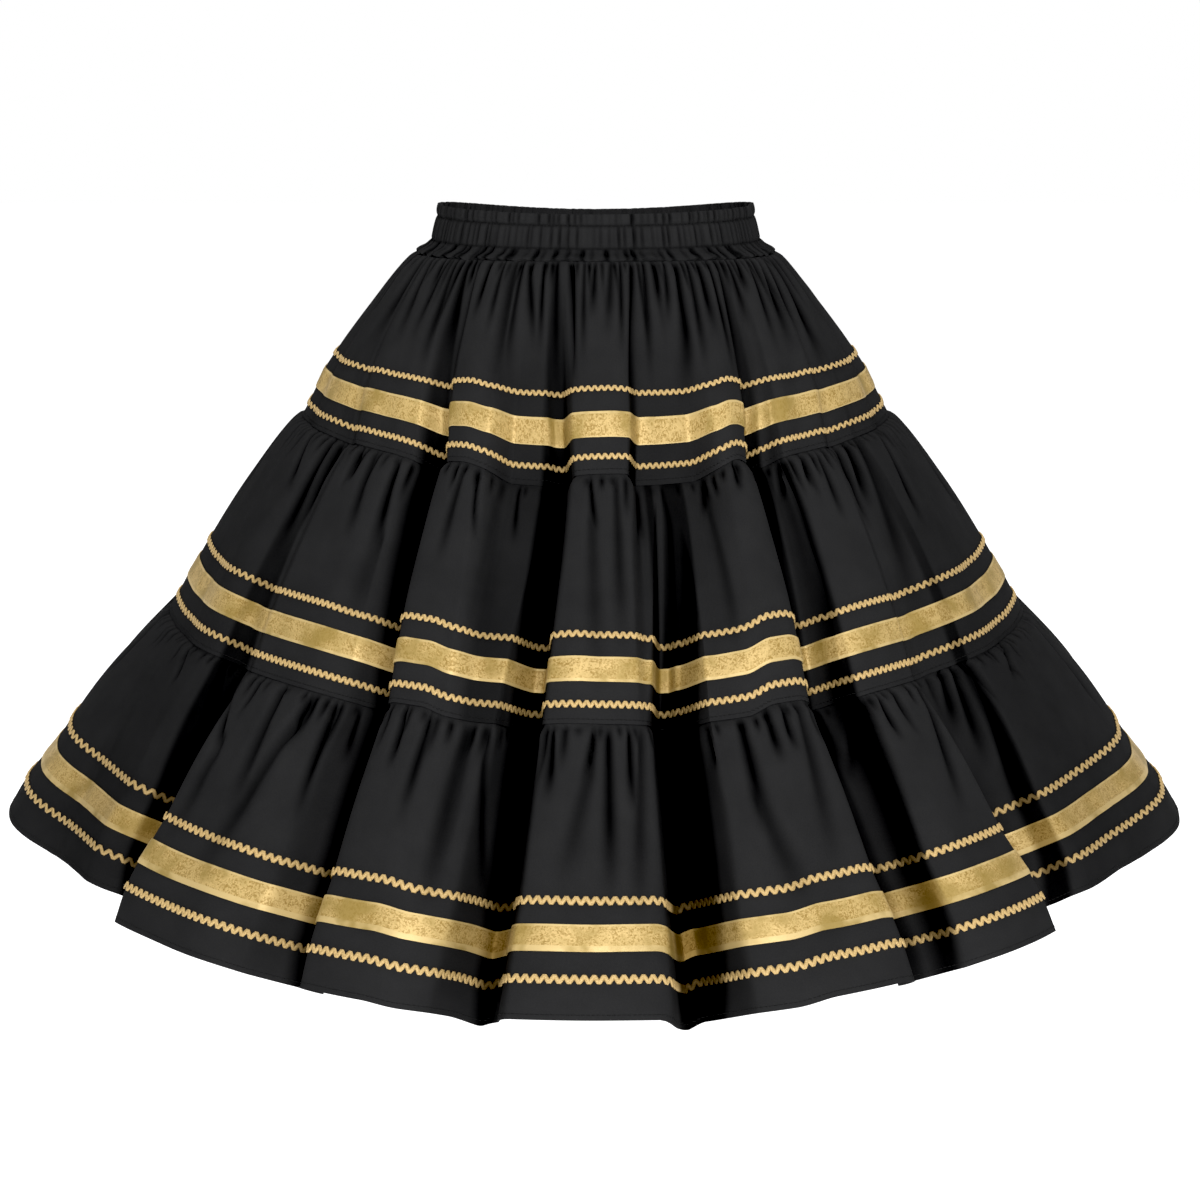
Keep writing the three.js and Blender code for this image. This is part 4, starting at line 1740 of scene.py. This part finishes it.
UPPER_CREASES = creases(
    (2.60, 2.55, 2, 60, 2.0, 2.2), (2.75, 2.76, 2, 80, 2.4, 2.4), (3.02, 3.03, 0, 24, 2.6, 2.0),
    (3.42, 3.41, 2, 56, 1.8, 1.8), (3.63, 3.62, 2, 80, 2.2, 2.2), (3.86, 3.86, 2, 62, 2.2, 1.8),
    (4.30, 4.28, 2, 70, 1.8, 1.8), (4.70, 4.66, 2, 64, 2.0, 1.8), (4.97, 4.95, 2, 76, 2.4, 2.2),
    (5.22, 5.18, 2, 46, 2.0, 1.8), (5.52, 5.48, 2, 76, 2.4, 2.2), (5.82, 5.80, 2, 84, 2.6, 2.2),
    (6.16, 6.14, 2, 50, 2.2, 2.0), (6.56, 6.48, 2, 64, 2.4, 2.2), (7.08, 6.98, 2, 60, 2.4, 2.2),
    (1.95, 1.85, 8, 72, 2.8, 3.5), (2.25, 2.35, 4, 66, 2.5, 3.0), (2.93, 2.95, 0, 80, 2.8, 2.6),
    (3.10, 3.10, 2, 66, 4.0, 2.0), (3.26, 3.24, 3, 46, 2.8, 2.0), (3.54, 3.55, 2, 92, 3.4, 4.0),
    (3.71, 3.79, 4, 60, 2.5, 2.2), (3.98, 3.98, 2, 90, 2.8, 2.6), (4.16, 4.17, 4, 84, 5.0, 2.2),
    (4.42, 4.38, 4, 42, 2.5, 2.2), (4.60, 4.53, 2, 54, 2.5, 2.6), (4.83, 4.75, 4, 96, 4.8, 2.6),
    (5.10, 5.09, 4, 34, 1.8, 1.8), (5.37, 5.29, 4, 90, 4.4, 2.8), (5.67, 5.65, 3, 56, 3.4, 2.8),
    (5.98, 6.00, 2, 90, 2.8, 2.6), (6.36, 6.30, 0, 28, 3.1, 2.6), (6.90, 6.72, 0, 66, 4.2, 3.2),
    (7.35, 7.20, 4, 84, 4.8, 3.4), (7.80, 7.85, 2, 60, 3.4, 3.0), (0.60, 0.50, 2, 70, 3.4, 3.2),
    (1.30, 1.25, 2, 50, 3.4, 3.0), (8.50, 8.45, 2, 66, 3.6, 3.2),
)
MIDDLE_CREASES = creases(
    (6.25, 6.20, 2, 130, 6.0, 3.4), (5.00, 4.99, 2, 130, -3.0, 2.6), (0.45, 0.50, 3, 70, 3.0, 3.6),
    (1.44, 1.62, 4, 44, 4.0, 3.0), (1.80, 1.84, 4, 90, 4.6, 4.0), (1.92, 1.97, 3, 60, 4.0, 2.6),
    (2.32, 2.34, 6, 26, 3.0, 2.2), (2.47, 2.54, 3, 60, 3.0, 3.4), (2.73, 2.77, 5, 66, 5.0, 3.0),
    (2.78, 2.75, 58, 125, 3.4, 7.0), (2.90, 2.91, 4, 32, 4.2, 2.4), (3.35, 3.33, 3, 66, 2.6, 3.0),
    (3.46, 3.52, 5, 44, 2.8, 2.2), (3.70, 3.74, 4, 40, 3.4, 2.0), (3.60, 3.66, 20, 130, 1.8, 6.0),
    (3.90, 3.93, 3, 28, 4.4, 2.2), (4.32, 4.38, 4, 38, 3.2, 2.0), (4.35, 4.46, 30, 140, 2.6, 4.5),
    (4.55, 4.62, 6, 110, 2.8, 3.4), (4.78, 4.78, 5, 40, 5.0, 2.4), (5.41, 5.38, 2, 26, 4.6, 2.6),
    (5.40, 5.41, 24, 125, 2.2, 3.6), (5.66, 5.65, 0, 20, 4.2, 2.2), (6.12, 6.09, 3, 60, 4.8, 2.8),
    (6.20, 6.17, 4, 26, 4.4, 2.2), (6.45, 6.41, 3, 24, 3.0, 2.2), (6.67, 6.64, 5, 50, 3.0, 3.0),
    (7.04, 7.02, 2, 56, 5.0, 2.6), (7.17, 7.10, 2, 46, 5.0, 3.0), (7.31, 7.17, 4, 120, 4.2, 5.5),
    (7.67, 7.55, 6, 70, 4.0, 3.2), (8.40, 8.45, 4, 80, 3.4, 3.6),
)
LOWER_CREASES = creases(
    (6.29, 6.13, 2, 120, 6.0, 4.0), (7.40, 7.26, 2, 115, 6.0, 4.5), (0.50, 0.44, 3, 60, 3.4, 3.6),
    (1.34, 1.43, 0, 30, 4.6, 2.6), (1.81, 1.86, 0, 40, 5.0, 3.0), (2.07, 2.26, 3, 60, 4.8, 3.0),
    (2.26, 2.26, 50, 115, 3.0, 5.5), (2.46, 2.51, 6, 84, 4.0, 5.0), (2.66, 2.64, 4, 36, 5.2, 3.2),
    (2.64, 2.52, 24, 125, 4.6, 6.5), (2.80, 2.83, 4, 76, 5.0, 3.0), (2.88, 2.89, 4, 36, 4.4, 2.6),
    (3.14, 3.02, 2, 24, 4.4, 2.4), (3.31, 3.32, 2, 38, 4.8, 2.4), (3.48, 3.48, 3, 66, 3.6, 3.2),
    (3.69, 3.71, 4, 112, 4.2, 5.0), (3.82, 3.91, 5, 110, 4.0, 4.5), (4.22, 4.23, 4, 44, 4.8, 2.8),
    (4.48, 4.45, 4, 34, 4.8, 2.6), (4.46, 4.36, 30, 96, 3.2, 5.0), (4.57, 4.58, 5, 100, 4.2, 3.6),
    (4.70, 4.71, 4, 50, 4.2, 2.8), (4.78, 4.72, 4, 112, 3.2, 4.0), (5.20, 5.19, 2, 26, 4.8, 2.6),
    (5.38, 5.36, 2, 66, 5.0, 4.0), (5.36, 5.45, 50, 118, 4.4, 6.0), (5.53, 5.53, 0, 32, 5.0, 2.8),
    (5.63, 5.63, 2, 28, 4.2, 2.4), (5.75, 5.67, 2, 90, 3.8, 5.0), (6.10, 6.08, 2, 42, 5.0, 3.0),
    (6.18, 6.12, 4, 46, 4.8, 2.8), (6.40, 6.40, 4, 32, 4.2, 2.4), (6.88, 6.61, 3, 84, 4.2, 4.0),
    (7.19, 7.12, 0, 44, 5.4, 4.0), (7.27, 7.19, 2, 70, 5.4, 4.5), (7.90, 7.75, 0, 26, 5.0, 3.2),
    (8.50, 8.42, 2, 80, 4.2, 4.0),
)


def hidden_creases(seed: int, each: int, reach: float, depth: float) -> tuple[Crease, ...]:
    """Draw creases like the front's on the back panels, which no picture shows.

    Args:
        seed: the seed of their places.
        each: how many each panel has.
        reach: the length of the longest in mm.
        depth: the depth of the deepest in mm.

    Returns:
        The creases.
    """
    draw = np.random.default_rng(seed)
    made = []
    for panel in range(FIRST_BACK, len(FOLDS)):
        for number in range(each):
            first = panel + (number + draw.uniform(0.2, 0.8)) / each
            length = reach * draw.uniform(0.2, 1.0)
            made.append(Crease(first, first + draw.uniform(-0.08, 0.08), 3, 3 + length,
                               depth * draw.uniform(0.55, 1.0), 2.2 + 0.025 * length))
    return tuple(made)


@dataclass(frozen=True)
class Lamp:
    """A soft square light: where it stands and what it points at, its side in metres and
    its power in watts."""

    name: str
    place: tuple[float, float, float]
    aim: tuple[float, float, float]
    size: float
    power: float

    def build(self) -> None:
        """Add the light to the scene."""
        data = bpy.data.lights.new(self.name, "AREA")
        data.size = self.size
        data.energy = self.power
        lamp = bpy.data.objects.new(self.name, data)
        lamp.location = self.place
        toward = Vector(self.aim) - Vector(self.place)
        lamp.rotation_euler = toward.to_track_quat("-Z", "Y").to_euler()
        bpy.context.scene.collection.objects.link(lamp)


@dataclass(frozen=True)
class Studio:
    """The pale floor, the soft light and the camera at the photograph's angle, in metres."""

    floor_height: float = -0.92
    floor_half: float = 14.0
    floor_glow: float = 0.8
    surround: float = 0.27
    pitch: float = 14.56
    distance: float = 1.6736
    target_height: float = -0.2948
    side: float = 0.0032
    lens: float = 62.76
    black: float = 0.010
    lamps: tuple[Lamp, ...] = (
        Lamp("key", (0.2, -2.7, 0.95), (0, 0, -0.25), 1.7, 82.0),
        Lamp("top", (0, 1.2, 2.6), (0, 0.6, -0.9), 2.5, 60.0),
    )

    def build(self) -> None:
        """Build the floor, the light and the camera."""
        self._floor()
        self._world()
        for lamp in self.lamps:
            lamp.build()
        self._camera()
        view = bpy.context.scene.view_settings
        view.view_transform = "Standard"
        view.look = "None"
        view.use_curve_mapping = True
        view.curve_mapping.black_level = (self.black,) * 3

    def _floor(self) -> None:
        """Lay a wide pale floor."""
        half = self.floor_half
        corners = ((-half, -half), (half, -half), (half, half), (-half, half))
        points = np.array([(x, y, self.floor_height) for x, y in corners])
        pale = Finish("pale_floor")
        tone = pale.noise(pale.in_space(), 3.0)
        pale.dress(Base_Color=pale.ramp(tone, 0.2, (0.80, 0.80, 0.80), 0.8, (0.84, 0.84, 0.84)),
                   Roughness=0.9, Emission_Color=(1, 1, 1, 1), Emission_Strength=self.floor_glow)
        floor = make_mesh("floor", points / MM, [[0, 1, 2, 3]], None, pale.material)

    def _world(self) -> None:
        """Give an even surround, white to the camera and dim as light."""
        world = bpy.data.worlds.new("studio")
        bpy.context.scene.world = world
        world.use_nodes = True
        graph = Graph(world.node_tree)
        graph.tree.nodes.clear()
        seen = graph.add("ShaderNodeLightPath").outputs["Is Camera Ray"]
        dim, shown = (graph.add("ShaderNodeBackground", {"Color": (1, 1, 1, 1), "Strength": much})
                      for much in (self.surround, 1.0))
        mix = graph.add("ShaderNodeMixShader", {0: seen, 1: dim.outputs[0], 2: shown.outputs[0]})
        graph.add("ShaderNodeOutputWorld", {0: mix.outputs[0]})

    def _camera(self) -> None:
        """Set the camera a little above the waist, looking down at the skirt."""
        data = bpy.data.cameras.new("camera")
        data.lens = self.lens
        data.sensor_width = 36.0
        camera = bpy.data.objects.new("camera", data)
        tilt = math.radians(self.pitch)
        camera.location = (
            self.side,
            -self.distance * math.cos(tilt),
            self.target_height + self.distance * math.sin(tilt),
        )
        camera.rotation_euler = (math.radians(90) - tilt, 0, 0)
        bpy.context.scene.collection.objects.link(camera)
        bpy.context.scene.camera = camera


def make_tiers(form: SkirtForm, wardrobe: Wardrobe) -> tuple[Tier, ...]:
    """Set up the three tiers, from the upper one down.

    Args:
        form: the whole skirt's form.
        wardrobe: the finishes and node trees.

    Returns:
        The tiers.
    """
    upper = TierCloth(
        form, Level(UPPER_RINGS, 0.0), Gathers(96, 3, 2.8, 16, 80, 1.4, 0.8),
        UPPER_CREASES + hidden_creases(31, 4, 90, 3.6),
    )
    middle = TierCloth(
        form, Level(MIDDLE_RINGS, 1.0), Gathers(172, 5, 3.6, 10, 46, 2.6, 1.2),
        MIDDLE_CREASES + hidden_creases(32, 4, 120, 4.8),
    )
    lower = TierCloth(
        form, Level(LOWER_RINGS, 2.0), Gathers(236, 8, 3.8, 10, 50, 3.0, 1.6),
        LOWER_CREASES + hidden_creases(33, 5, 125, 5.0),
    )
    return (
        Tier("upper", upper, columns=1200, cut_width=1650, wave_pitch=4.5, braid_height=3.0,
             braid_half=1.2, stitch_row=3.2, trim_shade=0.35, braid_shade=0.5, wardrobe=wardrobe),
        Tier("middle", middle, columns=1500, cut_width=2300, wave_pitch=5.0, braid_height=3.3,
             braid_half=1.35, stitch_row=3.2, trim_shade=0.42, braid_shade=0.72, wardrobe=wardrobe),
        Tier("lower", lower, columns=1800, cut_width=3400, wave_pitch=6.0, braid_height=3.8,
             braid_half=1.5, stitch_row=4.0, trim_shade=0.92, braid_shade=0.97, wardrobe=wardrobe),
    )


def main() -> None:
    """Build the skirt from the waist down, then the studio; each piece's points are logged."""
    logging.basicConfig(level=logging.INFO)
    form = SkirtForm(FOLDS, RECESSES, PANELS)
    wardrobe = Wardrobe()
    band = Waistband(form, wardrobe)
    band.build()
    above = band.foot_edge
    for tier in make_tiers(form, wardrobe):
        tier.build(above)
        above = tier.foot_edge
    Studio().build()


if __name__ == "__main__":
    main()
